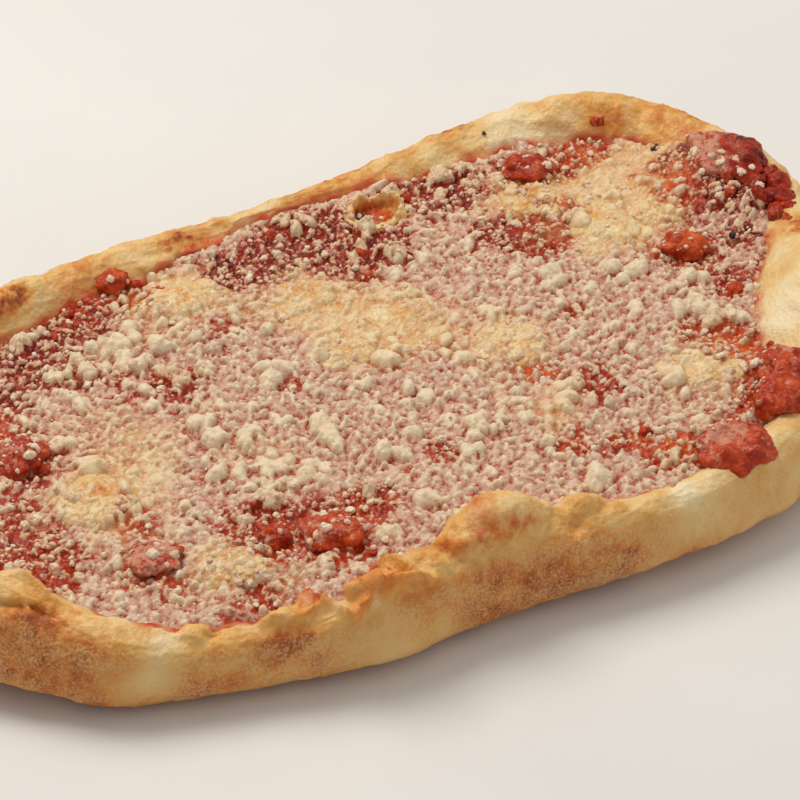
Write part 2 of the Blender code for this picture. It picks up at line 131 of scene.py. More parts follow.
CREST_INSET_CHANGES = (
    (-93, -20, 13, 4.0), (-8, -54, 13, 2.0), (84, -30, 24, 5.0), (92, 46, 24, 2.5),
    (-54, 58, 22, 2.0), (-100, 20, 26, 3.0),
)
FLOOR_INSET_CHANGES = (
    (-88, -20, 14, 6.0), (-66, -43, 10, -4.0), (-8, -54, 12, 5.0), (84, -30, 26, 14.0),
    (98, 30, 26, 10.0), (62, 58, 18, 5.0), (14, 60, 13, -3.0), (-30, 58, 16, 3.0),
    (-98, 20, 34, 8.0),
)
LIFT_CHANGES = (
    (-104, -22, 16, 2.6), (-80, -42, 9, -1.2), (-40, -58, 12, 1.0), (36, -66, 22, 2.6),
    (96, -26, 30, 1.0),
)
SAUCE_CHANGES = (
    (-70, -36, 9, -1.2), (-56, -42, 8, -0.7), (14, 54, 12, 1.2), (30, 0, 40, 0.6),
    (-76, 16, 12, 0.5),
)
BUBBLES = (
    (-9.5, -49.5, 12.5, 9.0, 0, 6.4), (7.5, -52, 7.0, 6.0, 0, 3.6), (-26, -50, 8, 5, -30, 1.8),
    (-91, -17, 10, 8, 60, 1.6), (-67, -41, 3.2, 3.0, 0, 1.6), (82, -27, 19, 12, 52, 3.4),
    (84, 48, 12, 8, -30, 2.0), (-50, 56, 12, 8, 0, 1.4),
)
FOLDS = (
    (-51, -47, -43, -45.5, 2.2, 1.6), (-40, -51.5, -25, -49.5, 2.6, 1.8),
    (-41, -46.5, -36, -45.5, 2.6, -1.6), (4.5, -48, 4, -58, 1.8, -1.8),
    (-94, -14, -86, -18, 2.4, 1.4), (-86, -18, -80, -26, 2.4, 1.4), (80, 52, 90, 44, 3.0, 1.4),
)
BLISTER = (29.5, 46.5, 7.2, 6.0, 19.6)
print("outline points:", len(OUTLINE))

# %% [markdown]
# ## Form functions
# Food has no drawn profile, so its form is a sum of simple rises, dips, domes, ridges and
# smooth noise. The functions of the next cell are the solid model's own. The cell
# after it adds two finer noises, written with arrays, because a skin with a hundred
# thousand points would be slow one point at a time.

# %% Form functions of the solid
def changes(points, terms):
    """Sum of smooth rises and dips; each term is x, y, reach and height."""
    total = np.zeros(len(points))
    for x, y, reach, height in terms:
        square = (points[:, 0] - x) ** 2 + (points[:, 1] - y) ** 2
        total += height * np.exp(-square / (2 * reach**2))
    return total


def in_oval(points, x, y, half_length, half_width, turn):
    """1 in the middle of a turned oval, falling to 0 on its outline and outside it."""
    c, s = math.cos(math.radians(turn)), math.sin(math.radians(turn))
    along = ((points[:, 0] - x) * c + (points[:, 1] - y) * s) / half_length
    across = ((points[:, 1] - y) * c - (points[:, 0] - x) * s) / half_width
    return np.clip(1 - along**2 - across**2, 0, 1)


def domes(points, terms):
    """Rounded oval domes; each term is x, y, half length, half width, turn and height."""
    total = np.zeros(len(points))
    for *oval, height in terms:
        total += height * in_oval(points, *oval) ** DOME_FULLNESS
    return total


def ridges(points, terms):
    """Rounded ridges and grooves that run from one end to the other."""
    total = np.zeros(len(points))
    for x0, y0, x1, y1, half_width, height in terms:
        run = np.array([x1 - x0, y1 - y0])
        share = np.clip((points[:, :2] - (x0, y0)) @ run / (run @ run), 0, 1)
        away = np.linalg.norm(points[:, :2] - (x0, y0) - share[:, None] * run, axis=1)
        total += height * np.exp(-((away / half_width) ** 2))
    return total


def unevenness(points, terms):
    """Sum of smooth noises; each term is the distance between lumps, their height and a seed."""
    total = np.zeros(len(points))
    for spacing, height, seed in terms:
        start = Vector((seed, 0, 0))
        total += [height * noise.noise(Vector(point) / spacing + start) for point in points]
    return total


def sauce_height(points):
    """Height of the sauce under each point, without its toppings."""
    flat = np.column_stack([points[:, :2], np.zeros(len(points))])
    return SAUCE_LEVEL + changes(points, SAUCE_CHANGES) + unevenness(flat, SAUCE_LUMPS)


# %% Fine noises on arrays
SPOT_COUNT = 512  # slopes and spots that the noises pick from
SEED_STEP = 31.7  # how far apart two seeds lie, in spacings
draw = np.random.default_rng(4)
SLOPES = draw.normal(size=(SPOT_COUNT, 3))
SLOPES /= np.linalg.norm(SLOPES, axis=1)[:, None]
SPOTS = draw.random((SPOT_COUNT, 3))


def cell_number(cell):
    """A fixed, well mixed number below SPOT_COUNT for each whole-numbered place."""
    x, y, z = cell[:, 0], cell[:, 1], cell[:, 2]
    mixed = (x * 73856093) ^ (y * 19349663) ^ (z * 83492791)
    return ((mixed ^ (mixed >> 13)) * 2654435761 >> 7) % SPOT_COUNT


def soft_noise(points, spacing, seed=0):
    """Smooth noise from about -1 to 1, its lumps one spacing (in mm) apart."""
    place = np.asarray(points, float) / spacing + seed * SEED_STEP
    cell = np.floor(place).astype(np.int64)
    inside = place - cell
    fade = inside**3 * (inside * (inside * 6 - 15) + 10)
    total = np.zeros(len(place))
    for corner in np.ndindex(2, 2, 2):
        weight = np.prod(np.where(corner, fade, 1 - fade), axis=1)
        slope = SLOPES[cell_number(cell + corner)]
        total += weight * ((inside - corner) * slope).sum(axis=1)
    return total * 1.6


def pebbles(points, spacing, seed=0):
    """Distance to the nearest of scattered spots, in spacings: 0 at a spot, near 1 between."""
    place = np.asarray(points, float) / spacing + seed * SEED_STEP
    cell = np.floor(place).astype(np.int64)
    nearest = np.full(len(place), 9.0)
    for step in np.ndindex(3, 3, 3):
        other = cell + step - 1
        spot = other + SPOTS[cell_number(other)]
        nearest = np.minimum(nearest, np.linalg.norm(place - spot, axis=1))
    return nearest


def smooth_step(low, high, values):
    """0 below low, 1 above high, and a soft S between them."""
    share = np.clip((values - low) / (high - low), 0, 1)
    return share * share * (3 - 2 * share)


print("noise ready, sample:", soft_noise(np.array([[1.0, 2.0, 3.0]]), 5.0).round(3))

# %% [markdown]
# ## The sections of the dough
# The rim is described by sections, all square to the outline: a foot that curls off the
# table, a full side, a crest, and a slope down to the floor that carries the sauce. The
# solid has 132 sections. The skin made here has nine times as many, from the same
# formulas, so that its surface can also carry wrinkles and pores.

# %% Sections of the dough
SECTIONS = 1200
FOLDED_FRONT = (-22, -56, 30, 1.1)


def closed_curve(knots, count):
    """Evenly spaced points along the smooth closed curve through the knots."""
    knots = np.array(knots, float)
    share = np.linspace(0, 1, 40, endpoint=False)[:, None]
    spans = []
    for i in range(len(knots)):
        a, b, c, d = (knots[(i + step) % len(knots)] for step in (-1, 0, 1, 2))
        spans.append(
            b
            + 0.5 * share * (c - a)
            + 0.5 * share**2 * (2 * a - 5 * b + 4 * c - d)
            + 0.5 * share**3 * (3 * (b - c) + d - a)
        )
    dense = np.concatenate(spans)
    dense -= (dense.min(axis=0) + dense.max(axis=0)) / 2
    ring = np.vstack([dense, dense[:1]])
    middle = (ring[1:] + ring[:-1]) / 2
    steps = np.linalg.norm(np.diff(ring, axis=0), axis=1) * (1 + changes(middle, (FOLDED_FRONT,)))
    travelled = np.concatenate([[0], np.cumsum(steps)])
    at = np.linspace(0, travelled[-1], count, endpoint=False)
    return np.stack([np.interp(at, travelled, ring[:, axis]) for axis in (0, 1)], axis=1)


class Rim:
    """Sections of the dough, all round: every ring method gives one point for each section."""

    def __init__(self):
        self.edge = closed_curve(OUTLINE, SECTIONS)
        along = np.roll(self.edge, -3, axis=0) - np.roll(self.edge, 3, axis=0)
        along /= np.linalg.norm(along, axis=1)[:, None]
        self.inward = np.stack([-along[:, 1], along[:, 0]], axis=1)
        self.crest = CREST_HEIGHT + changes(self.edge, CREST_CHANGES)
        self.crest_inset = CREST_INSET + changes(self.edge, CREST_INSET_CHANGES)
        self.floor_inset = FLOOR_INSET + changes(self.edge, FLOOR_INSET_CHANGES)
        self.lift = FOOT_LIFT + changes(self.edge, LIFT_CHANGES)
        self.tree = kdtree.KDTree(SECTIONS)
        for number, (x, y) in enumerate(self.edge):
            self.tree.insert((x, y, 0), number)
        self.tree.balance()

    def place(self, inset, height):
        flat = self.edge + self.inward * np.broadcast_to(inset, SECTIONS)[:, None]
        return np.column_stack([flat, np.broadcast_to(height, SECTIONS)])

    def foot(self, share):
        half_lift = self.lift / 2
        return self.place(FOOT_INSET + FOOT_WIDTH * (1 - share), half_lift * share**2)

    def side(self, angle):
        turn = math.radians(angle)
        level = max(math.cos(turn), 0)
        if angle < 0:
            inset = FOOT_INSET * (1 - level**TOE_FULLNESS)
            low = self.lift * (1 + level) / 2
            height = WIDEST_HEIGHT + (WIDEST_HEIGHT - low) * math.sin(turn)
        else:
            inset = self.crest_inset * (1 - level**SHOULDER_FULLNESS)
            height = WIDEST_HEIGHT + (self.crest - WIDEST_HEIGHT) * math.sin(turn)
        ring = self.place(inset, height)
        swell = unevenness(ring, SIDE_SWELLS) * level
        ring[:, :2] -= self.inward * swell[:, None]
        ring[:, 2] += max(math.sin(turn), 0) ** 2 * self.top_relief(ring)
        return ring

    def slope(self, share):
        inset = self.crest_inset + (self.floor_inset - self.crest_inset) * share
        drop = (1 + math.cos(math.pi * share)) / 2
        ring = self.place(inset, DOUGH_FLOOR + (self.crest - DOUGH_FLOOR) * drop)
        ring[:, 2] += self.top_relief(ring) * min(1, 4 * (1 - share))
        return ring

    def top_relief(self, ring):
        return domes(ring, BUBBLES) + ridges(ring, FOLDS) + unevenness(ring, TOP_LUMPS)

    def inset_of(self, points):
        """How far inside the outline each point is, and the number of its section."""
        found = [self.tree.find((x, y, 0))[1] for x, y in points[:, :2]]
        away = points[:, :2] - self.edge[found]
        return (away * self.inward[found]).sum(axis=1), np.array(found)


rim = Rim()
print("rim crest from", rim.crest.min().round(1), "to", rim.crest.max().round(1), "mm")

# %% [markdown]
# ## One way to add a node, and one for colours
# Every material below is a small network. One function adds any node with its settings.
# It sets and links the inputs through a second one, which the shaders use too. A third
# turns the hex colours that a picture editor shows into the linear light that the
# renderer counts in.

# %% Node and colour helpers
def linear(hex_colour):
    """The linear colour of an sRGB hex value such as E0B472."""
    parts = [int(hex_colour[i : i + 2], 16) / 255 for i in (0, 2, 4)]
    return (*[p / 12.92 if p <= 0.04045 else ((p + 0.055) / 1.055) ** 2.4 for p in parts], 1.0)


MIX_SHARE, MIX_A, MIX_B, MIX_OUT = 0, 6, 7, 2  # the colour sockets of Blender's Mix node
# The output that a node is linked by, where that isn't its first.
MAIN_OUTPUTS = {"ShaderNodeMix": MIX_OUT, "ShaderNodeAttribute": "Fac"}


def wire(tree, node, inputs):
    """Sets each input of a node, or links it to a socket or to another node's main output."""
    for name, value in inputs.items():
        if isinstance(value, bpy.types.Node):
            value = value.outputs[MAIN_OUTPUTS.get(value.bl_idname, 0)]
        if isinstance(value, bpy.types.NodeSocket):
            tree.links.new(value, node.inputs[name])
        else:
            node.inputs[name].default_value = value


def add(tree, kind, inputs=None, stops=None, **settings):
    """Adds a node, sets it up, and sets or links each of its inputs."""
    node = tree.nodes.new(kind)
    for name, value in settings.items():
        setattr(node, name, value)
    if stops:
        ramp = node.color_ramp
        while len(ramp.elements) < len(stops):
            ramp.elements.new(0.5)
        for element, (place, colour) in zip(ramp.elements, stops):
            element.position = place
            element.color = linear(colour)
    wire(tree, node, inputs or {})
    return node


def new_material(name):
    """A material with its output, its shader and the object's own coordinates."""
    material = bpy.data.materials.new(name)
    material.use_nodes = True
    tree = material.node_tree
    shader = tree.nodes["Principled BSDF"]
    place = tree.nodes.new("ShaderNodeTexCoord").outputs["Object"]
    return material, tree, shader, place


def per_mm(size):
    """Noise scale that draws one lump every so many millimetres, on coordinates in metres."""
    return 1000.0 / size


print("amber dough in linear light:", [round(c, 3) for c in linear("E0B472")])

# %% [markdown]
# ## Making a piece from arrays
# A skin with many points is quickest to make as arrays of places and faces. Numbers
# that vary over it, such as how brown it is, are stored on its points, and its
# material reads them by name.

# %% Piece helpers
def new_piece(name, places, faces, material):
    """A smooth-shaded mesh from places in mm, linked to the scene and riding on the pizza."""
    mesh = bpy.data.meshes.new(name)
    mesh.from_pydata((np.asarray(places) * MM).tolist(), [], faces)
    mesh.materials.append(material)
    mesh.shade_smooth()
    piece = bpy.data.objects.new(name, mesh)
    bpy.context.scene.collection.objects.link(piece)
    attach(piece, "root")
    return piece


def read_points(piece, field):
    """Three numbers for each point: co is its place, normal the way that it faces."""
    numbers = np.empty(len(piece.data.vertices) * 3, np.float32)
    piece.data.vertices.foreach_get(field, numbers)
    return numbers.reshape(-1, 3).astype(float)


def places_of(piece):
    return read_points(piece, "co") / MM


def normals_of(piece):
    return read_points(piece, "normal")


def move_points(piece, places):
    piece.data.vertices.foreach_set("co", (places * MM).astype(np.float32).ravel())
    piece.data.update()


def store(piece, **fields):
    """Keeps one number for each point, under the name that the material reads."""
    for name, values in fields.items():
        layer = piece.data.attributes.new(name, "FLOAT", "POINT")
        layer.data.foreach_set("value", np.asarray(values, np.float32))


# %% [markdown]
# ## Baked dough: the material
# White flour dough turns from cream through gold to brown as its sugars and proteins
# react in the oven, and nearly black where a bubble scorches. One number, bake, runs
# through a ramp of those colours, so every patch passes through the true sequence. The
# sides keep a dusting of flour, which is paler, greyer and grainy, and the inner slope is
# stained orange by the sauce. Where fat has run over the folds they are a clear golden.
# Bread is matt: roughness 0.42 where fat makes it shine and up to 0.68 under flour, IOR
# about 1.45, and a little light passes into it. Flour is finer than 0.1 mm, but its grain
# is drawn 0.5 mm wide, because it wouldn't show otherwise.

# %% Baked dough material
def baked_dough_material():
    material, tree, shader, place = new_material("baked_dough_skin")
    bake, flour, stain, golden = (
        add(tree, "ShaderNodeAttribute", attribute_name=name)
        for name in ("bake", "flour", "stain", "golden"))
    mottle = add(tree, "ShaderNodeTexNoise",
                 {"Vector": place, "Scale": per_mm(6.0), "Detail": 8.0, "Roughness": 0.68})
    uneven = add(tree, "ShaderNodeMath", {0: mottle, 1: 0.5},
                 operation="SUBTRACT")
    contrast = add(tree, "ShaderNodeMath", {0: bake, 1: 2.2, 2: 0.3}, operation="MULTIPLY_ADD")
    calmed = add(tree, "ShaderNodeMath", {0: flour, 1: -1.6, 2: contrast},
                 operation="MULTIPLY_ADD")
    uneven = add(tree, "ShaderNodeMath",
                 {0: uneven, 1: calmed, 2: bake}, operation="MULTIPLY_ADD")
    crust = add(tree, "ShaderNodeValToRGB", {"Fac": uneven}, stops=(
        (0.0, "EEDAB0"), (0.20, "E4BF80"), (0.36, "D9A35A"), (0.50, "CF853C"),
        (0.64, "B35C24"), (0.80, "853A18"), (0.92, "522410"), (1.0, "24130C")))
    buttery = add(tree, "ShaderNodeMix",
                  {MIX_SHARE: golden, MIX_A: crust, MIX_B: linear("E5A044")},
                  data_type="RGBA")
    grain = add(tree, "ShaderNodeTexNoise",
                {"Vector": place, "Scale": per_mm(0.5), "Detail": 1.0, "Roughness": 0.6})
    dusted = add(tree, "ShaderNodeMath", {0: grain, 1: flour}, operation="ADD")
    dusted = add(tree, "ShaderNodeMapRange",
                 {"Value": dusted, "From Min": 0.80, "From Max": 1.14,
                  "To Max": 0.7})
    floured = add(tree, "ShaderNodeMix",
                  {MIX_SHARE: dusted, MIX_A: buttery,
                   MIX_B: linear("DCB67C")}, data_type="RGBA")
    stained = add(tree, "ShaderNodeMath", {0: mottle, 1: stain},
                  operation="ADD")
    stained = add(tree, "ShaderNodeMapRange",
                  {"Value": stained, "From Min": 0.62, "From Max": 1.35})
    colour = add(tree, "ShaderNodeMix",
                 {MIX_SHARE: stained, MIX_A: floured,
                  MIX_B: linear("C2461A")}, data_type="RGBA")
    pores = add(tree, "ShaderNodeTexVoronoi", {"Vector": place, "Scale": per_mm(0.9)},
                feature="SMOOTH_F1")
    relief = add(tree, "ShaderNodeMath",
                 {0: grain, 1: 0.8, 2: pores},
                 operation="MULTIPLY_ADD")
    bump = add(tree, "ShaderNodeBump",
               {"Height": relief, "Strength": 0.5, "Distance": 0.0005})
    rough = add(tree, "ShaderNodeMapRange",
                {"Value": flour, "From Min": 0.0, "From Max": 0.6, "To Min": 0.42, "To Max": 0.68})
    wire(tree, shader, {
        "Base Color": colour, "Roughness": rough, "Normal": bump, "IOR": 1.45,
        "Specular IOR Level": 0.4, "Subsurface Weight": 0.2, "Subsurface Radius": (1.0, 0.5, 0.2),
        "Subsurface Scale": 0.002})
    return material


baked_dough = baked_dough_material()
print("material:", baked_dough.name)

# %% [markdown]
# ## The skin of the dough
# A loft of rings from the underside, up round the side, over the crest and down to the
# floor under the sauce. It replaces the solid crust and follows the same formulas.

# %% Skin of the dough
def loft(rings, first, last):
    """Places and faces of a closed skin through rings of equal length."""
    count = len(rings[0])
    places = np.vstack([first, *rings, last])
    column = np.arange(count)
    after = (column + 1) % count
    pairs = list(zip(column.tolist(), after.tolist()))
    faces = [(0, 1 + a, 1 + c) for c, a in pairs]
    for level in range(len(rings) - 1):
        low, high = 1 + level * count, 1 + (level + 1) * count
        quads = np.stack([low + column, low + after, high + after, high + column], axis=1)
        faces += quads.tolist()
    top = 1 + (len(rings) - 1) * count
    end = len(places) - 1
    faces += [(top + c, top + a, end) for c, a in pairs]
    return places, faces


# The rings of the skin: shares of the way out below, angles up the side, shares down the slope.
UNDERSIDE_SHARES = np.linspace(0.04, 0.96, 24)
FOOT_SHARES = (0.0, 0.25, 0.5, 0.75)
SIDE_ANGLES = np.linspace(-90, 90, 72)
SLOPE_SHARES = np.linspace(0, 1, 38)[1:]


def dough_rings():
    rings = [rim.foot(0.0) * [share, share, 0] for share in UNDERSIDE_SHARES]
    rings += [rim.foot(share) for share in FOOT_SHARES]
    rings += [rim.side(angle) for angle in SIDE_ANGLES]
    rings += [rim.slope(share) for share in SLOPE_SHARES]
    rings += [rings[-1] * [share, share, 1] for share in (0.8, 0.5)]
    return rings


rings = dough_rings()
places, faces = loft(rings, (0, 0, 0), (0, 0, DOUGH_FLOOR))
dough = new_piece("dough_skin", places, faces, baked_dough)
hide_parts("crust")
print("dough skin:", len(faces), "faces, box", places.min(axis=0).round(1),
      places.max(axis=0).round(1))

# %% [markdown]
# ## How the dough baked
# Heat reaches each part of a rim differently: the crest and the bubbles brown first, the
# creases stay cream, and the side keeps flour. Smooth spots in three dimensions say where
# this dough is browner or paler than its mean, and noise joins them. Three pale spots on the
# inner slope at the back right are painted light, not bake: they lighten a slope that faces
# away from the key light. The same spots, a little raised or sunk, give the surface its
# wrinkles and pores.

# %% Where the dough is brown, pale, floured and stained
# x, y, z and reach in mm, then how much browner (or, below zero, paler) than the rest.
BAKED_AND_PAINTED_LIGHT_SPOTS = (
    (-94.3, -25, 17.9, 3.8, 0.14), (-90.7, -27.2, 18.9, 3.6, 0.14),
    (-86.5, -30.1, 19.1, 3.1, 0.15), (-95.1, -26.5, 12.5, 4, 0.2), (-90.8, -24.9, 20.7, 3, 0.16),
    (-82.2, -35.2, 17.3, 3, 0.16), (-86.3, -37.6, 8.7, 4.5, 0.2), (-51.8, -50.5, 15, 2.2, 0.18),
    (-54.1, -51.1, 12.6, 2.2, 0.16), (-48.4, -50.6, 15.6, 2.2, 0.1),
    (-58.1, -49.2, 13.2, 2.5, 0.07), (-15.1, -54.9, 21.9, 1.4, 0.2),
    (-12.9, -55.1, 21.9, 1.6, 0.2), (-10.1, -55.8, 21.8, 1.4, 0.2), (-7.7, -55.8, 22, 1.3, 0.2),
    (-3.3, -55.5, 21.5, 1.2, 0.21), (-5.5, -55.7, 21.9, 1.2, 0.17), (-4, -44.2, 21, 1.2, 0.25),
    (-12.3, -53.5, 24.7, 3, 0.1), (-12.1, -50.1, 24.7, 2.2, 0.1), (-17.7, -54.9, 20.6, 1.9, 0.1),
    (-15.1, -55.8, 20.1, 1.9, 0.1), (-20.8, -52, 20.7, 1.4, 0.21), (-19.3, -53.6, 20.8, 2.2, 0.1),
    (-38.1, -53.2, 18.7, 1.9, 0.11), (-34.1, -54, 18.7, 1.9, 0.12),
    (-29.1, -54.7, 18.8, 1.9, 0.14), (-26.6, -55.8, 18.9, 1.7, 0.13),
    (-38.1, -52.1, 20.3, 1.7, 0.07), (-31.9, -53.3, 19.9, 1.9, 0.08), (-40.6, -41.1, 12, 1.7, 0.1),
    (-41.7, -54.4, 17.1, 1.7, 0.12), (-35.1, -56.6, 16.2, 1.9, 0.09), (12.5, -64.1, 9.4, 4, 0.14),
    (8.3, -63.3, 7.7, 4, 0.1), (18.4, -63.9, 14.1, 3, 0.12), (-1.2, -60.8, 6.1, 6, 0.12),
    (-20.2, -58.4, 9.8, 6, 0.1), (-70.9, -45.6, 5.7, 3, 0.1), (96.2, -8.5, 19.7, 2.2, 0.44),
    (-8.7, 58.5, 18.6, 1.6, 0.3), (-13.6, 58.7, 18.5, 1.6, 0.26), (20, 61, 18, 6, 0.14),
    (34, 63, 18, 5, 0.2), (-36.9, 59.3, 20.9, 4, 0.12), (-48.6, 56.7, 21.7, 1.9, 0.6),
    (-52.8, 55.3, 22, 1.8, 0.5), (94.4, 42.3, 20.6, 5, 0.08), (101.3, 32.4, 19.7, 4, 0.1),
    (87.8, 46.6, 22.4, 4, 0.05), (59.2, 54.9, 18.9, 5, 0.12), (77.4, 51.2, 20.6, 2.2, 0.08),
    (82.3, 47.1, 20.7, 2.4, 0.07), (88.7, 42.9, 19.2, 3, 0.05), (-78, -42.7, 9.9, 4, -0.26),
    (-72.6, -40.8, 14.9, 3, -0.2), (-34.9, -59.3, 8.7, 5, -0.18), (-25.4, -59, 6.2, 4, -0.14),
    (18.4, -64.2, 12.5, 3.4, -0.16), (27.3, -65.3, 13.8, 4, -0.2), (25.6, -60.9, 18.1, 2.4, -0.22),
    (14, -42.2, 11.9, 4, -0.14), (80.5, -23.6, 21.6, 9, -0.2), (71, -35.1, 19.1, 7, -0.14),
    (8, 58.6, 17.7, 4, -0.12), (-23.4, 59.3, 20.1, 4, -0.1), (49.5, 57.2, 19.6, 7, -0.14),
    (65.6, 55.4, 19.5, 5, -0.12), (100.6, 24.7, 19.4, 4, -0.2), (37.4, -63.9, 17.2, 6, -0.1),
    # Of the spots below, (72, 48), (80, 45) and (66, 50) are painted light: paler dough that
    # lightens the inner slope at the back right, which faces away from the key light.
    (54.5, -63.8, 13.1, 6, -0.08), (72, 48, 18, 6, -0.12), (80, 45, 18, 6, -0.14),
    (66, 50, 18, 5, -0.1), (86, 45, 20, 2.5, 0.12),
)
# Ends, half width and height of the folds in the crest.
FINE_FOLDS = (
    (-49.4, -49.5, -44.8, -49.6, 0.9, 1.1), (-44.8, -49.6, -41.9, -54.4, 0.9, 0.9),
    (-41.9, -54.4, -37.1, -53.1, 0.9, 1.4), (-37.1, -53.1, -26.1, -56, 1.1, 1.5),
    (-40.7, -51.7, -36.1, -52.6, 0.8, 1.3), (-36.1, -52.6, -27.9, -55, 0.8, 1.2),
    (-38.5, -49.3, -32, -47, 0.8, 1.1), (-32, -47, -28.8, -53.3, 0.8, 1),
    (-46.7, -45.8, -43.5, -43.8, 1, 0.5), (-46.7, -45.8, -46, -47.9, 0.9, 0.5),
    (-41.5, -48.2, -39.4, -46.6, 1.5, -2.2), (-38.5, -43.6, -34, -43.6, 1.3, 1.2),
    (-54.4, -47.5, -51.2, -49, 1, 0.8), (-56, -46.6, -52.3, -47.6, 0.9, 0.7),
    (25.3, -58.8, 31, -55, 0.6, -0.9), (-64, -43, -65.4, -43.2, 0.9, -0.8),
    (-90, -13, -85.2, -24.5, 0.9, 0.9), (-95.5, -20.3, -91.9, -24, 0.9, -1),
    (-89.9, -24.9, -87.4, -26.9, 0.9, -1), (-5, -46, -1, -51, 0.7, -0.7),
    (-19.5, -53.6, -10.5, -56.6, 0.8, 0.6), (81.7, 46.4, 75.8, 52.1, 1, 0.4),
    (79.3, 47.4, 72.9, 51.6, 1.2, -0.2), (-1.2, 56.3, -10.1, 56.3, 0.9, 0.8),
    (-14.4, 56.3, -20.6, 56, 0.9, 0.7),
)
# x, y, z and reach in mm, then how strongly sauce has stained the dough there.
STAINED_PLACES = (
    (-40.5, -47.5, 14.5, 2.0, 0.9), (-38, -45.5, 16, 1.6, 0.6), (-36.5, -44.5, 17, 1.4, 0.5),
    (-31.4, -45, 17, 1.4, 0.6), (-44.5, -44, 16, 1.3, 0.4), (-28, 55, 17, 3, 0.5),
    (-38, 57, 17, 4, 0.5), (95, 37, 20, 2.4, 0.4), (98, 31, 20, 2.2, 0.45), (101, 26, 20, 2.6, 0.7),
    (103, 19, 20, 3.0, 0.9), (84, 45, 19, 3, 0.2), (90, 44, 20, 2, 0.35), (87, 40, 19, 3, 0.3),
    (-88, 12, 16, 4, 0.4), (-12, -54, 23, 3.2, 0.25), (-15, -54.5, 22.5, 1.6, 0.5),
    (-8, -55, 22.5, 1.4, 0.45), (-12, -51, 25, 1.8, 0.4), (-20.5, -52.5, 20.5, 1.6, 0.5),
)
# The same of the places where fat has run over the dough and baked golden.
GOLDEN_PLACES = (
    (-36, -51, 18, 6, 1.1), (-47, -47, 16, 3.5, 0.8), (-12, -50, 24, 5, 0.45),
    (-20, -52, 20, 2.5, 0.5), (86, 45, 20, 5, 0.8), (95, 36, 20, 5, 0.6), (-80, 47, 19, 9, 0.35),
    (-60, 54, 20, 8, 0.35), (-30, 58, 19, 8, 0.3), (-66, -43, 15, 5, 0.5), (-90, -20, 20, 6, 0.4),
    (30, 60, 18, 8, 0.25),
)
HIDDEN_SPOTS = 46  # more spots, by a seeded draw, round the back and the two ends


def spots(points, terms):
    """Sum of smooth spots in space; each term is x, y, z, reach and amount."""
    total = np.zeros(len(points))
    for x, y, z, reach, amount in terms:
        square = ((points - (x, y, z)) ** 2).sum(axis=1)
        near = square < (3.5 * reach) ** 2
        total[near] += amount * np.exp(-square[near] / (2 * reach**2))
    return total


def crackle(points, spacing, seed):
    """Thin raised lines where smooth noise passes zero: 1 on a line, 0 away from it."""
    return np.clip(1 - np.abs(soft_noise(points, spacing, seed)) * 4, 0, 1) ** 2


def hidden_spots():
    """Browned and pale places on the sides that the camera's own view doesn't reach."""
    draw = random.Random(21)
    found = []
    hidden = [n for n in range(SECTIONS) if unseen[n]]
    for _ in range(HIDDEN_SPOTS):
        section = draw.choice(hidden)
        x, y = rim.edge[section]
        height = draw.uniform(3, 19)
        found.append((x, y, height, draw.uniform(2.5, 6.5), draw.choice((-0.16, 0.1, 0.16, 0.28))))
    return found


unseen = (rim.edge[:, 1] > 40) | (rim.edge[:, 0] < -96) | (rim.edge[:, 0] > 100)
# One number says how far round its section each ring lies: -90 is the foot, 90 the crest.
ring_turns = [*np.linspace(-138, -112, len(UNDERSIDE_SHARES)), -110, -104, -98, -94,
              *SIDE_ANGLES, *(90 + 90 * SLOPE_SHARES), 190, 200]
turn = np.concatenate([[-140], np.repeat(ring_turns, SECTIONS), [210]])
skin = places_of(dough)
side = smooth_step(-82, -50, turn) * (1 - smooth_step(40, 80, turn))
top = smooth_step(40, 80, turn) * (1 - smooth_step(140, 175, turn))
under = 1 - smooth_step(-100, -62, turn)
above_sauce = skin[:, 2] - sauce_height(skin)
inner = smooth_step(92, 108, turn)

bake = 0.30 + 0.12 * soft_noise(skin, 14, 1) + 0.09 * soft_noise(skin, 5, 2)
bake += (0.19 * side * (1 - 0.5 * smooth_step(10, 50, skin[:, 0])) + 0.26 * under
         + 0.16 * smooth_step(-50, -76, turn) * (1 - under))
# toast holds the bake of the spots, and also the painted light of the three pale spots on the back
# right slope.
toast = spots(skin, BAKED_AND_PAINTED_LIGHT_SPOTS) + spots(skin, hidden_spots())
broken = np.clip(0.8 + 1.0 * soft_noise(skin, 1.9, 9) + 0.7 * soft_noise(skin, 0.9, 10), 0.05, 1.9)
bake += np.where(toast > 0, toast * (1 + (broken - 1) * top), toast)
petals = spots(skin, ((-36, -51, 18, 6, 1.0), (-47, -47, 16, 3, 0.7)))
petal_lines = crackle(skin * [0.6, 1, 1], 2.8, 19)
fine_folds = ridges(skin, FINE_FOLDS)
folds = smooth_step(0.45, 1.1, fine_folds) + 0.8 * petal_lines
bake += (0.16 * folds - 0.2) * petals * top
bake -= top * (0.04 + spots(skin, ((-9, -49, 23, 8, 0.07), (-66, 52, 19, 16, 0.06))))
flour = side * np.clip(0.42 + 0.16 * soft_noise(skin, 9, 5) + 0.12 * soft_noise(skin, 3, 6), 0, 1)
stain = inner * smooth_step(2.6, 0.2, above_sauce) * (0.7 + 0.5 * soft_noise(skin, 4, 7))
stain += spots(skin, STAINED_PLACES) * (0.6 + 0.9 * np.abs(soft_noise(skin, 2.5, 8)))
orange = (0.2 + 0.2 * np.minimum(folds, 1)) * np.minimum(petals, 1)
stain += orange * smooth_step(30, 70, turn)
burnt_patch = spots(skin, ((-50, 56.5, 21, 5, 1.0),))
bake = np.minimum(bake, 0.60 + 0.34 * burnt_patch)
golden = top * spots(skin, GOLDEN_PLACES) * (0.75 + 0.7 * soft_noise(skin, 3, 23))
store(dough, bake=np.clip(bake, 0, 1), flour=flour, stain=np.clip(stain, 0, 1),
      golden=np.clip(golden, 0, 0.8))
print("bake from", bake.min().round(2), "to", bake.max().round(2))

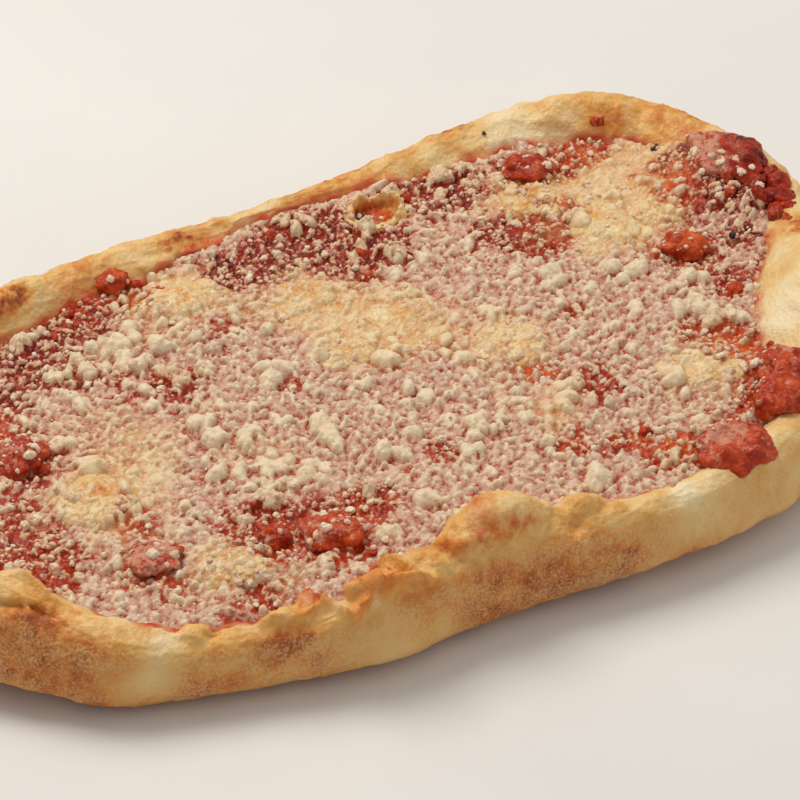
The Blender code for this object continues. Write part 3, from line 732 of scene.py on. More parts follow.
# %% Wrinkles, pores and small flakes of the dough
GIRTH = 570  # length of the outline in mm
SEAM_FADE = 12  # mm over which the wrinkles fade out on each side of the seam
ALONG_STEP = GIRTH / SECTIONS
ACROSS_STEP = 0.36
FOOT_GAP = 0.02  # in mm, so that the flat foot and the floor aren't one and the same plane

along = np.concatenate([[0], np.tile(np.arange(SECTIONS) * ALONG_STEP, len(ring_turns)), [0]])
across = np.concatenate([[0], np.repeat(np.arange(len(ring_turns)) * ACROSS_STEP, SECTIONS), [0]])
seam = smooth_step(0, SEAM_FADE, along) * smooth_step(GIRTH, GIRTH - SEAM_FADE, along)
unrolled = np.column_stack([along / 3.2, across, 0 * along])
relief = 0.30 * soft_noise(skin, 4.6, 11) + 0.15 * soft_noise(skin, 1.9, 12)
relief += 0.08 * soft_noise(skin, 1.0, 13)
relief += 0.32 * (1 - side) * seam * (crackle(unrolled, 2.6, 18) - 0.3)
relief -= 0.22 * smooth_step(0.30, 0.12, pebbles(skin, 2.6, 14)) * side
relief += 0.45 * smooth_step(0.42, 0.10, pebbles(skin, 7.5, 15)) * top
relief += 0.40 * crackle(skin * [1, 1, 1.6], 3.5, 16) * smooth_step(0.45, 0.7, bake)
relief += 1.5 * fine_folds * smooth_step(30, 70, turn) * (1 - smooth_step(150, 178, turn))
relief += spots(skin, ((-11, -52, 24, 5, 1.3), (-33, -50, 19, 4, 0.9), (-46, -45, 17, 3, 0.6),
                        (-93, -19, 20, 7, -1.9), (-84, -29, 19, 5, -0.9)))
relief += 1.2 * petals * top * (petal_lines - 0.25)
relief *= 1 - 0.8 * under
skin = skin + normals_of(dough) * relief[:, None]
skin[:, 2] = np.maximum(skin[:, 2], FOOT_GAP)
move_points(dough, skin)
print("relief of the dough within", relief.min().round(2), "and", relief.max().round(2), "mm")

# %% [markdown]
# ## Tomato sauce with cheese melted into it
# Crushed tomato bakes to a wet, lumpy red. Fine cheese that fell on it has melted in, so
# most of the surface is a rough, pinkish cream, and red shows in patches. Numbers on the
# points steer this: bare (red shows), film (a smooth yellow skin of melted cheese),
# bright (orange-red and oily instead of dark), and curd, amount and cream (how far a
# crumb stands out, how thick it is, and whether it has kept its own pale colour). Wet
# sauce is smooth, with a roughness near 0.22, and the cheese over it is less so.

# %% Sauce material
def sauce_material():
    material, tree, shader, place = new_material("baked_sauce_with_cheese")
    bare, film, bright, curd, amount, cream = (
        add(tree, "ShaderNodeAttribute", attribute_name=name)
        for name in ("bare", "film", "bright", "curd", "amount", "cream"))
    pulp = add(tree, "ShaderNodeTexNoise",
               {"Vector": place, "Scale": per_mm(2.4), "Detail": 5.0, "Roughness": 0.6})
    pulp_tone = add(tree, "ShaderNodeMath", {0: bright, 1: 0.5, 2: pulp},
                    operation="MULTIPLY_ADD")
    red = add(tree, "ShaderNodeValToRGB", {"Fac": pulp_tone}, stops=(
        (0.25, "660F05"), (0.48, "9E280E"), (0.7, "C04012"), (1.0, "DE6A1C")))
    patch = add(tree, "ShaderNodeTexNoise",
                {"Vector": place, "Scale": per_mm(9.0), "Detail": 3.0})
    speck = add(tree, "ShaderNodeTexNoise",
                {"Vector": place, "Scale": per_mm(1.0), "Detail": 2.0, "Roughness": 0.85})
    grainy = add(tree, "ShaderNodeMath", {0: speck, 1: 1.1, 2: -0.19},
                 operation="MULTIPLY_ADD")
    for field, share in ((curd, 0.46), (amount, 0.18), (bare, -0.36)):
        grainy = add(tree, "ShaderNodeMath", {0: field, 1: share, 2: grainy},
                     operation="MULTIPLY_ADD")
    mush = add(tree, "ShaderNodeValToRGB", {"Fac": grainy}, stops=(
        (0.26, "A0361E"), (0.38, "B0604A"), (0.52, "C08D76"), (0.72, "CEA992"),
        (0.95, "DEC5AC")))
    whole = add(tree, "ShaderNodeValToRGB", {"Fac": grainy}, stops=(
        (0.30, "C48A66"), (0.48, "D3AB88"), (0.70, "DCC3A0"), (0.95, "E6D3B4")))
    mush = add(tree, "ShaderNodeMix",
               {MIX_SHARE: cream, MIX_A: mush, MIX_B: whole},
               data_type="RGBA")
    redness = add(tree, "ShaderNodeMapRange",
                  {"Value": grainy, "From Min": 0.42, "From Max": 0.2})
    veiled = add(tree, "ShaderNodeMix",
                 {MIX_SHARE: redness, MIX_A: mush, MIX_B: red},
                 data_type="RGBA")
    golden = add(tree, "ShaderNodeMath", {0: grainy, 1: patch},
                 operation="ADD")
    golden = add(tree, "ShaderNodeMath", {0: golden, 1: 0.62, 2: 0.1},
                 operation="MULTIPLY_ADD")
    yellow = add(tree, "ShaderNodeValToRGB", {"Fac": golden}, stops=(
        (0.36, "C8702E"), (0.54, "D89A56"), (0.72, "DDB27A"), (0.95, "E6CCA0")))
    melted = add(tree, "ShaderNodeMath", {0: film, 1: 0.8, 2: patch},
                 operation="MULTIPLY_ADD")
    melted = add(tree, "ShaderNodeMapRange",
                 {"Value": melted, "From Min": 0.66, "From Max": 1.15,
                  "To Max": 0.85})
    colour = add(tree, "ShaderNodeMix",
                 {MIX_SHARE: melted, MIX_A: veiled,
                  MIX_B: yellow}, data_type="RGBA")
    rough = add(tree, "ShaderNodeMapRange",
                {"Value": grainy, "From Min": 0.3, "From Max": 0.9,
                 "To Min": 0.22, "To Max": 0.36})
    bump = add(tree, "ShaderNodeBump",
               {"Height": speck, "Strength": 0.7, "Distance": 0.0005})
    wire(tree, shader, {
        "Base Color": colour, "Roughness": rough, "Normal": bump, "IOR": 1.4,
        "Specular IOR Level": 0.35, "Subsurface Weight": 0.15,
        "Subsurface Radius": (1.0, 0.45, 0.3), "Subsurface Scale": 0.0006})
    return material


sauce_finish = sauce_material()
print("material:", sauce_finish.name)

# %% [markdown]
# ## The sheet of sauce
# A fine grid is cut along the rim and lifted to the height of the sauce. Its relief is
# built up from large to small: slow swells of the solid, lumps of tomato pulp, and the
# soft crumbs of cheese. Where red shows, the pulp is rounder and the crumbs are few. The
# crumbs are many thousand small domes, joined so that they meet in soft creases, because
# cheese that has half melted has no gap under it.

# %% Where the sauce is bare, filmed with cheese, or bright
# x, y and reach in mm, then strength.
BARE_PLACES = (
    (-71, 16, 6.5, 1.0), (-72, 29, 5, 0.8), (-66, 33, 4, 0.5), (-56, 43, 5, 0.9),
    (-50, 38, 4, 0.4), (-42, 49, 6, 0.8), (-38, 56, 4.5, 1.0), (-28, 54, 4, 1.0),
    (-26, 48, 2.2, 0.9), (-16, 33, 5, 0.55), (-33, 23, 4.5, 0.7), (-45, 27, 5, 0.5),
    (-37, 17, 4, 0.4), (-52, 5, 3, 0.3), (-5, 47, 4.5, 1.1), (0, 40, 5, 0.5),
    (8, 49, 5, 1.0), (17, 49, 4.5, 1.1), (22, 44, 6, 0.9), (17, 36, 5.5, 1.0),
    (27, 38, 5, 0.8), (40, 49, 5, 0.8), (48, 45, 5.5, 0.9), (55, 24, 5.5, 1.0),
    (45, 28, 4, 0.8), (51, 19, 4, 0.8), (64, 27, 3, 0.8), (64, 42, 5, 1.0),
    (72, 38, 4, 0.5), (80, 42, 5, 0.7), (84, 46, 4, 0.3), (91, 17, 6.5, 1.0),
    (98, 21, 7, 1.0), (99, 10, 7, 1.0), (84, 27, 5, 0.2), (75, 1, 5, 1.0),
    (76.5, -13, 3.6, 1.1), (88, -3, 4, 0.5), (60, -22, 3.5, 0.9), (64, -27.5, 3.6, 1.1),
    (68, -31, 3.6, 1.1), (61, -34, 3.6, 0.9), (57, -44, 4, 0.8), (34, -25, 3.5, 1.0),
    (27, -14, 4, 0.7), (44, -3, 2.4, 0.8), (-3, -24, 3.2, 1.0), (8, 3, 3, 0.4),
    (21, -33, 3, 0.5), (18, -38, 3, 0.5), (27, -41, 3.5, 0.7), (32, -49, 4.5, 0.9),
    (45, -52, 5, 0.8), (-15, 8, 2.2, 0.8), (-18, -8, 2, 0.8), (-22, -30, 4, 1.0),
    (-33, -33, 6, 1.1), (-40, -25, 5, 1.0), (-42, -30, 4, 1.0), (-47, -21, 4, 0.6),
    (-61, -8, 3.5, 0.7), (-62, -15, 3, 0.4), (-65, -22, 4.0, 0.7), (-66, -30, 6, 0.25),
    (-60, -39, 6, 0.3), (-53, -43, 5, 0.45), (-50, -38, 4, 0.3), (-75, -13, 5, 0.35),
    (-78, -2, 6, 0.4), (-85, 1, 5, 0.6), (-82, -14, 4, 0.9), (-89, -10, 5, 1.0),
    (-90, 10, 6, 0.5), (-84, 25, 6, 0.6), (-95, 18, 6, 0.8), (-75, 40, 6, 0.7),
)
FILM_PLACES = (
    (60, 32, 9, 1.2), (66, 18, 8, 1.0), (79, 13, 6, 0.8), (76, 33, 7, 1.0), (84, 27, 6, 0.8),
    (14, 13, 9, 0.9), (2, 12, 7, 0.7), (2, 30, 7, 0.9), (27, -5, 7, 0.8), (-64, -3, 8, 0.9),
    (-50, 12, 9, 0.6), (-52, -32, 7, 0.8), (-19, 45, 9, 1.0), (54, -31, 7, 0.8),
    (22, -27, 6, 0.7), (87, 33, 6, 0.7), (-30, -6, 8, 0.3),
)
BRIGHT_PLACES = (
    (97, 18, 8, -0.5), (96, 5, 7, -0.5), (88, 0, 6, -0.3),
    (-38, 57, 4, 1.0), (-28, 55, 3.5, 1.0), (-26, 48, 2.5, 1.0), (32, 47, 4, 1.0),
    (86, 19, 5, 0.9), (80, 43, 7, 0.8), (75, 1, 4, 0.7), (-65, -22, 4, 0.8), (-54, -43, 4, -0.1),
    (27, -14, 4, 0.6), (64, 27, 3, 0.8), (-72, 29, 4, 0.8), (-16, 35, 3, 0.5), (-61, -8, 3, 0.7),
    (22, -27, 5, 0.6), (36, -50, 4, 0.6), (-75, 22, 5, 0.5), (64, -29, 5, 0.5),
    (60, -34, 4, 0.6),
)


def bare_share(points):
    """How much red shows at each point: 0 under cheese, 1 on wet sauce."""
    flat = np.column_stack([points[:, :2], np.zeros(len(points))])
    rough_edge = 0.30 * soft_noise(flat, 5.5, 31) + 0.22 * soft_noise(flat, 2.2, 32)
    return smooth_step(0.30, 0.85, changes(points, BARE_PLACES) + rough_edge + 0.1)


def film_share(points):
    """How much a smooth skin of melted cheese covers each point."""
    return np.clip(changes(points, FILM_PLACES), 0, 1) * (1 - 0.65 * bare_share(points))


print("patches of bare sauce:", len(BARE_PLACES))

# %% Where crumbs of cheese lie
SHARE_STEP = 1.0
SHARE_CORNER = np.array([-120.0, -75.0])


def share_table():
    """On a 1 mm grid: 0 outside the crest of the rim, growing to 1 on the open sauce."""
    x, y = np.meshgrid(np.arange(SHARE_CORNER[0], -SHARE_CORNER[0], SHARE_STEP),
                       np.arange(SHARE_CORNER[1], -SHARE_CORNER[1], SHARE_STEP))
    inset, section = rim.inset_of(np.column_stack([x.ravel(), y.ravel()]))
    start = rim.crest_inset[section]
    return ((inset - start) / (rim.floor_inset[section] - start)).reshape(x.shape)


SHARES = share_table()


def rim_share(points):
    """The table's number at any place, read between its four nearest points."""
    spot = (points[:, :2] - SHARE_CORNER) / SHARE_STEP
    cell = np.floor(spot).astype(int)
    u, v = (spot - cell).T
    column, row = cell.T
    low = SHARES[row, column] * (1 - u) + SHARES[row, column + 1] * u
    high = SHARES[row + 1, column] * (1 - u) + SHARES[row + 1, column + 1] * u
    return low * (1 - v) + high * v


def covering(points):
    """How thickly crumbs lie: most between the bare places and the melted ones."""
    share = smooth_step(0.30, 0.75, rim_share(points))
    bare = bare_share(points)
    film = film_share(points)
    patchy = 0.75 + 0.5 * soft_noise(points, 9, 71)
    return np.clip(share * (1 - 0.72 * bare) * (1 - 0.93 * film) * patchy, 0, 1)


def melting(points):
    """How thickly the half-melted crumbs lie: few on bare sauce, small ones on the film too."""
    share = smooth_step(0.2, 0.6, rim_share(points))
    return np.clip(share * (1 - 0.75 * bare_share(points)) * (1 - 0.75 * film_share(points)), 0, 1)


def dusting(points):
    """How thickly the fine grains lie: they also reach the slope and dot the bare sauce."""
    share = smooth_step(0.3, 0.65, rim_share(points))
    return np.clip(share * (0.4 + 0.6 * bare_share(points)) * (1 - 0.85 * film_share(points)), 0, 1)


TRIES = 20000  # places drawn at a time
LEAST_GAIN = 5  # crumbs that a draw must add for another to be worth while


def scatter(count, seed, density, apart=0.0):
    """Places that follow a density from 0 to 1, none nearer to another than apart."""
    draw = np.random.default_rng(seed)
    found = np.empty((0, 3))
    while len(found) < count:
        tries = np.column_stack([draw.uniform(-112, 112, TRIES), draw.uniform(-67, 67, TRIES),
                                 np.zeros(TRIES)])
        tries = tries[draw.random(TRIES) < density(tries)]
        if apart:
            kept = []
            cells = {}
            for spot in np.vstack([found, tries]):
                key = (int(spot[0] // apart), int(spot[1] // apart))
                near = [other for i in (-1, 0, 1) for j in (-1, 0, 1)
                        for other in cells.get((key[0] + i, key[1] + j), ())]
                if all((spot[0] - o[0]) ** 2 + (spot[1] - o[1]) ** 2 > apart**2 for o in near):
                    cells.setdefault(key, []).append(spot)
                    kept.append(spot)
            full = len(kept) < len(found) + LEAST_GAIN
            found = np.array(kept)
            if full:
                break
        else:
            found = np.vstack([found, tries])
    return found[:count]


print("first crumb:", scatter(1, 80, covering).round(1))

# %% Sheet of sauce
SHEET = (224.0, 130.0)
SHEET_STEP = 0.26
MEETING = 4  # how sharply two soft crumbs meet: the higher, the sharper the crease
# x, y, half length, half width, turn and rise, as in the solid model.
MELTED_CHEESE = (
    (60.5, 32, 8.0, 5.2, -48, 1.8), (66.5, 17.5, 6.5, 9, -20, 2.2), (79.5, 14.5, 6.5, 5, -34, 1.8),
    (15.5, 14, 7.5, 6, -20, 1.2), (1.5, 31, 7.5, 5, -10, 1.2), (-1.5, 11.5, 6.5, 5, -34, 1.4),
    (27.5, -5, 7.5, 7, -34, 1.6), (-64, -2.5, 7.5, 7, -10, 2.6), (-52.5, -32, 7.6, 5, -30, 2.2),
    (-19, 44, 10, 6, -10, 2.4), (54, -31.5, 8, 7, -34, 1.2),
)
# x and y in mm of the largest crumbs.
LARGE_CRUMBS = (
    (-18, -6.8), (-10.4, -19.6), (-31.8, -10.5), (-29.4, -17.9), (2.2, -27.4), (-4.9, -17.1),
    (-18.5, 10.4), (-15.8, 14.4), (1.4, 3.9), (5.9, 1.2), (7.9, 6.5), (17.1, -5.1), (3.2, -7.6),
    (3.7, -19.6), (7.2, -22.7), (-20.4, -28.1), (-12.2, -35.4), (-37.7, -19.3), (-52.1, 50.1),
    (-39.3, 39.5), (-34.6, 37.9), (-29.7, 32.7), (-37.4, 32.3), (-32.3, 22.7), (-34.3, 29.5),
    (-45.2, 36.1), (-51, 35.4), (-55.1, 26.1), (-35.9, 6.4), (-35.8, 1.5), (-32.2, -2.3),
    (-40.5, -7.9), (-62.8, 17.6), (-59.3, 8), (-29.1, 19.4), (59.2, 3.4), (62.7, -0.6),
    (47.1, 7.4), (72.2, -7), (66.3, -12.9), (66, -18.8), (67.8, -22), (61.6, -13.8), (94, 2.5),
    (63.6, 22.2), (28.7, -23.4), (23.3, -25.3), (59, -49), (40.9, -46.5), (45.4, -31.9),
    (17.9, -48.7), (14.4, 51.1), (25.4, 41.4), (19.1, 36.3), (23.3, 32.7), (36.1, 54.4),
    (48.6, 50.9), (54.1, 48.5),
)


def pool_lift(points):
    """How much the pools of melted cheese raise the crumbs that lie on them."""
    total = np.zeros(len(points))
    for *oval, rise in MELTED_CHEESE:
        total += rise * np.sqrt(in_oval(points, *oval))
    return total


def clustered(centres, reach, least, most, draw):
    """Places of the rounded bits of each cluster: a few round every centre."""
    found = []
    for x, y in centres:
        for _ in range(draw.integers(least, most + 1)):
            found.append((x + draw.normal() * reach, y + draw.normal() * reach))
    return found


def whole_bits():
    """x, y, radius and height of the bits of the crumbs that have kept their form."""
    draw = np.random.default_rng(33)
    bits = [(x, y, draw.uniform(1.4, 2.2), draw.uniform(1.5, 2.5))
            for x, y in clustered(LARGE_CRUMBS, 1.4, 2, 4, draw)]
    bits += [(24.6, 41.6, 1.9, 3.6), (25.8, 43.0, 1.4, 3.0), (22.8, 39.6, 1.4, 1.8)]
    some = scatter(130, 40, covering, 5.0)[:, :2]
    bits += [(x, y, draw.uniform(0.9, 1.6), draw.uniform(0.9, 1.7))
             for x, y in clustered(some, 1.0, 1, 4, draw)]
    small = scatter(620, 38, covering, 2.4)[:, :2]
    bits += [(x, y, draw.uniform(0.5, 0.95), draw.uniform(0.5, 1.0))
             for x, y in clustered(small, 0.7, 1, 3, draw)]
    return bits


def melted_bits():
    """The same of the finer bits between them, which have half melted."""
    draw = np.random.default_rng(35)
    bits = [(x, y, draw.uniform(0.8, 1.6), draw.uniform(0.45, 1.0))
            for x, y, _ in scatter(1500, 33, melting)]
    for x, y, _ in scatter(17000, 34, melting):
        radius = 0.36 + 0.6 * draw.random() ** 3
        bits.append((x, y, radius, radius * draw.uniform(0.4, 0.85)))
    return bits


def dust_bits():
    """The same of the finest grains, which lie like snow on the red places too."""
    draw = np.random.default_rng(39)
    return [(x, y, draw.uniform(0.32, 0.62), draw.uniform(0.25, 0.6))
            for x, y, _ in scatter(7500, 44, dusting)]


def blister_distance(points):
    """How far each point is from the middle of the blister: 1 on its own outline."""
    x, y, half_length, half_width, _ = BLISTER
    return np.hypot((points[:, 0] - x) / half_length, (points[:, 1] - y) / half_width)


def soft_crumbs(x, y, rough, bits, seed, fullness=0.7):
    """Height of the bits of cheese that lie in the sauce, as soft domes that meet."""
    draw = np.random.default_rng(seed)
    total = np.zeros_like(x)
    for px, py, radius, height in bits:
        column = int((px - x[0, 0]) / SHEET_STEP)
        row = int((py - y[0, 0]) / SHEET_STEP)
        reach = int(1.8 * radius / SHEET_STEP) + 1
        patch = (slice(max(row - reach, 0), row + reach + 1),
                 slice(max(column - reach, 0), column + reach + 1))
        turn = draw.uniform(0, math.pi)
        dx, dy = x[patch] - px, y[patch] - py
        along = (dx * math.cos(turn) + dy * math.sin(turn)) / (radius * draw.uniform(1.0, 1.5))
        across = (dy * math.cos(turn) - dx * math.sin(turn)) / (radius * draw.uniform(0.8, 1.1))
        inside = np.clip(1 - (along**2 + across**2) * (1 + 0.5 * rough[patch]), 0, 1)
        total[patch] += (height * inside**fullness) ** MEETING
    return total ** (1 / MEETING)


def blurred(field, reach):
    """The mean over a square round each point, from sums along rows and columns."""
    for axis in (0, 1):
        run = np.cumsum(np.pad(field, [(reach + 1, reach) if a == axis else (0, 0) for a in (0, 1)],
                               mode="edge"), axis=axis)
        ahead = np.take(run, range(2 * reach + 1, run.shape[axis]), axis=axis)
        behind = np.take(run, range(0, run.shape[axis] - 2 * reach - 1), axis=axis)
        field = (ahead - behind) / (2 * reach + 1)
    return field


def sauce_sheet():
    """Places, fields and faces of a square grid, kept where it lies inside the rim."""
    along = np.arange(-SHEET[0] / 2, SHEET[0] / 2, SHEET_STEP)
    across = np.arange(-SHEET[1] / 2, SHEET[1] / 2, SHEET_STEP)
    x, y = np.meshgrid(along, across)
    flat = np.column_stack([x.ravel(), y.ravel(), np.zeros(x.size)])
    rough = soft_noise(flat, 1.3, 35).reshape(x.shape)
    whole = soft_crumbs(x, y, 0.6 * rough, whole_bits(), 36, 0.5)
    melted = soft_crumbs(x, y, rough, melted_bits(), 37)
    dust = soft_crumbs(x, y, rough, dust_bits(), 38)
    kept_whole = smooth_step(0.0, 0.9, whole - melted)
    cream = kept_whole + smooth_step(0.02, 0.3, dust)
    crumb = (whole**MEETING + melted**MEETING) ** (1 / MEETING) + dust
    grain = 0.14 * soft_noise(flat, 1.1, 36) + 0.17 * soft_noise(flat, 0.62, 37)
    crumb += grain.reshape(x.shape) * (1 - 0.8 * kept_whole)
    share = rim_share(flat).reshape(x.shape)
    crumb = crumb * smooth_step(0.22, 0.5, share) - 0.8 * smooth_step(0.35, 0.1, share)
    stands = crumb - blurred(crumb, 6)
    kept = share > 0.1
    corner = np.arange(x.size).reshape(x.shape)
    filled = kept[:-1, :-1] & kept[1:, :-1] & kept[:-1, 1:] & kept[1:, 1:]
    faces = np.stack([corner[:-1, :-1], corner[:-1, 1:], corner[1:, 1:], corner[1:, :-1]], axis=-1)
    used, faces = np.unique(faces[filled], return_inverse=True)
    fields = [field.ravel()[used] for field in (crumb, stands, cream)]
    return flat[used], fields, faces.reshape(-1, 4)


# x, y, reach and rise of the places where sauce and tomato are heaped, in mm.
SAUCE_HEAPS = (
    (99, 19, 5.5, 4.2), (99, 9, 5.5, 4.0), (94, 3, 4.5, 2.6), (92, 22, 5.5, 2.4),
    (88, 14, 6, 1.2), (96, 28, 4, 1.8), (-36, -33, 5, 0.9), (-65, -21, 5, 0.8),
    (-72, 16, 5, 1.0), (63, 41, 5, 0.9), (-62, -38, 6, 0.7),
)
flat, (crumb, stands, cream), faces = sauce_sheet()
bare = bare_share(flat)
film = film_share(flat)
relief = 0.50 * soft_noise(flat, 4.5, 41) + 0.28 * soft_noise(flat, 2.1, 42)
relief += bare * (0.9 * (0.5 - pebbles(flat, 3.0, 43)) + 0.3 * (0.5 - pebbles(flat, 1.3, 44)))
relief += 0.3 * film + changes(flat, SAUCE_HEAPS) * smooth_step(0.1, 0.35, rim_share(flat))
relief = np.where(pool_lift(flat) > 0, 0.4 * relief, relief) + 0.9 * pool_lift(flat)
under_blister = smooth_step(0.94, 0.72, blister_distance(flat))
relief -= under_blister * (3.5 + relief + crumb)
sauce = new_piece("sauce_skin", flat + [0, 0, 1] * (sauce_height(flat) + relief + crumb)[:, None],
                  faces.tolist(), sauce_finish)
bright = np.clip(changes(flat, BRIGHT_PLACES), -0.5, 1)
bright += 0.25 * smooth_step(-22, -45, flat[:, 1]) - 0.3 * smooth_step(15, 40, flat[:, 1])
store(sauce, bare=bare, film=film, bright=bright,
      curd=np.clip(0.5 + stands, 0, 1.2), amount=np.clip(crumb / 1.2, 0, 1),
      cream=np.clip(cream, 0, 1))
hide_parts("tomato_sauce")
print("sauce skin:", len(faces), "faces, red share", bare.mean().round(2))

# %% [markdown]
# ## Pools of melted cheese
# Where soft cheese lay thick it melted into smooth, low, oval pools. Fat keeps them glossy,
# with a roughness near 0.4, and their thin crests toast to orange. Melted cheese lets
# light in, so it has more light under its surface than the dough. Each pool is a dome of
# rings with the solid's own wavy outline, and its edge dips just under the sauce.

# %% Melted cheese material
def melted_cheese_material():
    material, tree, shader, place = new_material("melted_cheese_film")
    toast = add(tree, "ShaderNodeAttribute", attribute_name="toast")
    mottle = add(tree, "ShaderNodeTexNoise",
                 {"Vector": place, "Scale": per_mm(3.0), "Detail": 5.0, "Roughness": 0.6})
    uneven = add(tree, "ShaderNodeMath", {0: mottle, 1: toast}, operation="ADD")
    colour = add(tree, "ShaderNodeValToRGB", {"Fac": uneven}, stops=(
        (0.28, "EAD6AA"), (0.48, "E0C08C"), (0.70, "D69A54"), (1.0, "BE642C")))
    blisters = add(tree, "ShaderNodeTexVoronoi", {"Vector": place, "Scale": per_mm(0.9)},
                   feature="SMOOTH_F1")
    bump = add(tree, "ShaderNodeBump",
               {"Height": blisters, "Strength": 0.8, "Distance": 0.0005})
    wire(tree, shader, {
        "Base Color": colour, "Normal": bump, "Roughness": 0.38, "IOR": 1.44,
        "Subsurface Weight": 0.3, "Subsurface Radius": (1.0, 0.6, 0.3),
        "Subsurface Scale": 0.002})
    return material


melted_cheese = melted_cheese_material()
print("material:", melted_cheese.name)

# %% Pools of melted cheese
TOASTED_PLACES = (
    (2, 33, 2.6, 0.3), (60, 33, 2.4, 0.25), (-64, -2, 2.6, 0.22), (64, 22, 2.2, 0.2),
    (28, -8, 3, 0.12), (-50, -31, 2.6, 0.12), (80, 12, 2.5, 0.15), (-22, 42, 3, 0.1),
)
POOL_RIPPLES = 1.5
POOL_WAVINESS = 0.28
CHEESE_SINK = 0.2
POOL_RINGS, POOL_SIDES = 36, 110


def pool_places(number, x, y, half_length, half_width, turn, rise):
    """Rings of points over one pool, from its crest out to an edge just under the sauce."""
    share = np.linspace(0.02, 1.06, POOL_RINGS)[:, None]
    around = np.linspace(0, 2 * math.pi, POOL_SIDES, endpoint=False)
    edge = np.column_stack([np.cos(around), np.sin(around)])
    wave = [noise.noise(Vector((u, v, 0)) * POOL_RIPPLES + Vector((number * 2.3, 0, 0)))
            for u, v in edge]
    wave = 1 + POOL_WAVINESS * np.array(wave)
    c, s = math.cos(math.radians(turn)), math.sin(math.radians(turn))
    u = (share * wave * edge[:, 0] * half_length).ravel()
    v = (share * wave * edge[:, 1] * half_width).ravel()
    flat = np.column_stack([x + u * c - v * s, y + u * s + v * c, 0 * u])
    inside = np.repeat(share, POOL_SIDES)
    dome = rise * np.sqrt(np.clip(1 - inside**2, 0, 1))
    flat[:, 2] = sauce_height(flat) + CHEESE_SINK + dome - 1.2 * np.clip(inside - 1, 0, 1) / 0.06
    level = flat * [1, 1, 0]
    fine = 0.30 * soft_noise(level, 3.0, 51) + 0.14 * soft_noise(level, 1.2, 52)
    fine += 0.4 * (0.5 - pebbles(level, 1.15, 54)) + 0.08 * soft_noise(level, 0.6, 55)
    flat[:, 2] += fine * (1 - inside**4)
    return flat


pools = []
for number, pool in enumerate(MELTED_CHEESE):
    places = pool_places(number, *pool)
    rows = np.split(places, POOL_RINGS)
    places = np.vstack([rows[0].mean(axis=0), *rows])
    column = np.arange(POOL_SIDES)
    after = (column + 1) % POOL_SIDES
    faces = [(0, 1 + c, 1 + a) for c, a in zip(column.tolist(), after.tolist())]
    for level in range(POOL_RINGS - 1):
        low, high = 1 + level * POOL_SIDES, 1 + (level + 1) * POOL_SIDES
        faces += np.stack([low + column, high + column, high + after, low + after], axis=1).tolist()
    piece = new_piece(f"cheese_pool_{number + 1:02d}", places, faces, melted_cheese)
    toast = changes(places, TOASTED_PLACES) + 0.16 * soft_noise(places, 5, 53) - 0.02
    store(piece, toast=toast)
    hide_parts(f"melted_cheese_{number + 1:02d}")
    pools.append(piece)
print("pools of cheese:", len(pools))

# %% [markdown]
# ## Pieces of cooked tomato
# Soft pieces of tomato flesh lie in the sauce, dark red, wet and slumped. Their flesh is
# full of water, so light enters deeply and red comes back, and juice on top gives small
# sharp glints: a coat with a roughness near 0.1. Each is a lumpy ball, squashed, turned
# and dented by the same noise as the solid, on a much finer mesh.

# %% Tomato material
def tomato_material():
    material, tree, shader, place = new_material("cooked_tomato_flesh")
    fibre = add(tree, "ShaderNodeTexNoise",
                {"Vector": place, "Scale": per_mm(2.2), "Detail": 6.0, "Roughness": 0.65})
    warm = add(tree, "ShaderNodeAttribute", attribute_name="warm")
    tone = add(tree, "ShaderNodeMath", {0: warm, 1: 0.25, 2: fibre},
               operation="MULTIPLY_ADD")
    colour = add(tree, "ShaderNodeValToRGB", {"Fac": tone}, stops=(
        (0.28, "7A1507"), (0.46, "A82C0C"), (0.62, "C24614"), (0.8, "DA641C")))
    powder = add(tree, "ShaderNodeTexNoise",
                 {"Vector": place, "Scale": per_mm(2.6), "Detail": 4.0, "Roughness": 0.8})
    floury = add(tree, "ShaderNodeAttribute", attribute_name="dusted")
    floury = add(tree, "ShaderNodeMath", {0: floury, 1: 0.25, 2: powder},
                 operation="MULTIPLY_ADD")
    powdered = add(tree, "ShaderNodeMapRange",
                   {"Value": floury, "From Min": 0.54, "From Max": 0.68,
                    "To Max": 0.7})
    colour = add(tree, "ShaderNodeMix",
                 {MIX_SHARE: powdered, MIX_A: colour,
                  MIX_B: linear("DAA488")}, data_type="RGBA")
    bump = add(tree, "ShaderNodeBump",
               {"Height": powder, "Strength": 0.7, "Distance": 0.0012})
    wire(tree, shader, {
        "Base Color": colour, "Normal": bump, "Roughness": 0.3, "IOR": 1.38,
        "Specular IOR Level": 0.25, "Subsurface Weight": 0.12,
        "Subsurface Radius": (1.0, 0.3, 0.1), "Subsurface Scale": 0.002, "Coat Weight": 0.15,
        "Coat Roughness": 0.1})
    return material


tomato_flesh = tomato_material()
print("material:", tomato_flesh.name)

# %% Tomato pieces
# x, y, half sizes, turn and height of the middle, as in the solid model.
TOMATO_PIECES = (
    (41, -57.5, 7.6, 6.2, 3.8, -30, 18.2), (57.5, -51.5, 5, 5.6, 4.4, 10, 19),
    (66, -44, 6.5, 7, 3.4, 40, 17.6), (75, 1, 4.6, 3.6, 2.6, -34, 17.2),
    (99, 17, 7, 9, 4, 15, 20.6), (-33.5, -34, 6, 4.6, 3.2, -25, 16.6),
    (-42.5, -28, 3.2, 2.8, 2.2, 0, 16), (-71, 16, 5.5, 5, 3.4, 20, 17),
    (64.5, 41.5, 5.5, 4.4, 2.8, -34, 17), (-64, -22.5, 5, 3.8, 2.4, -20, 16.4),
    (-28, 55, 3.6, 3, 2.2, 0, 17.4),
)
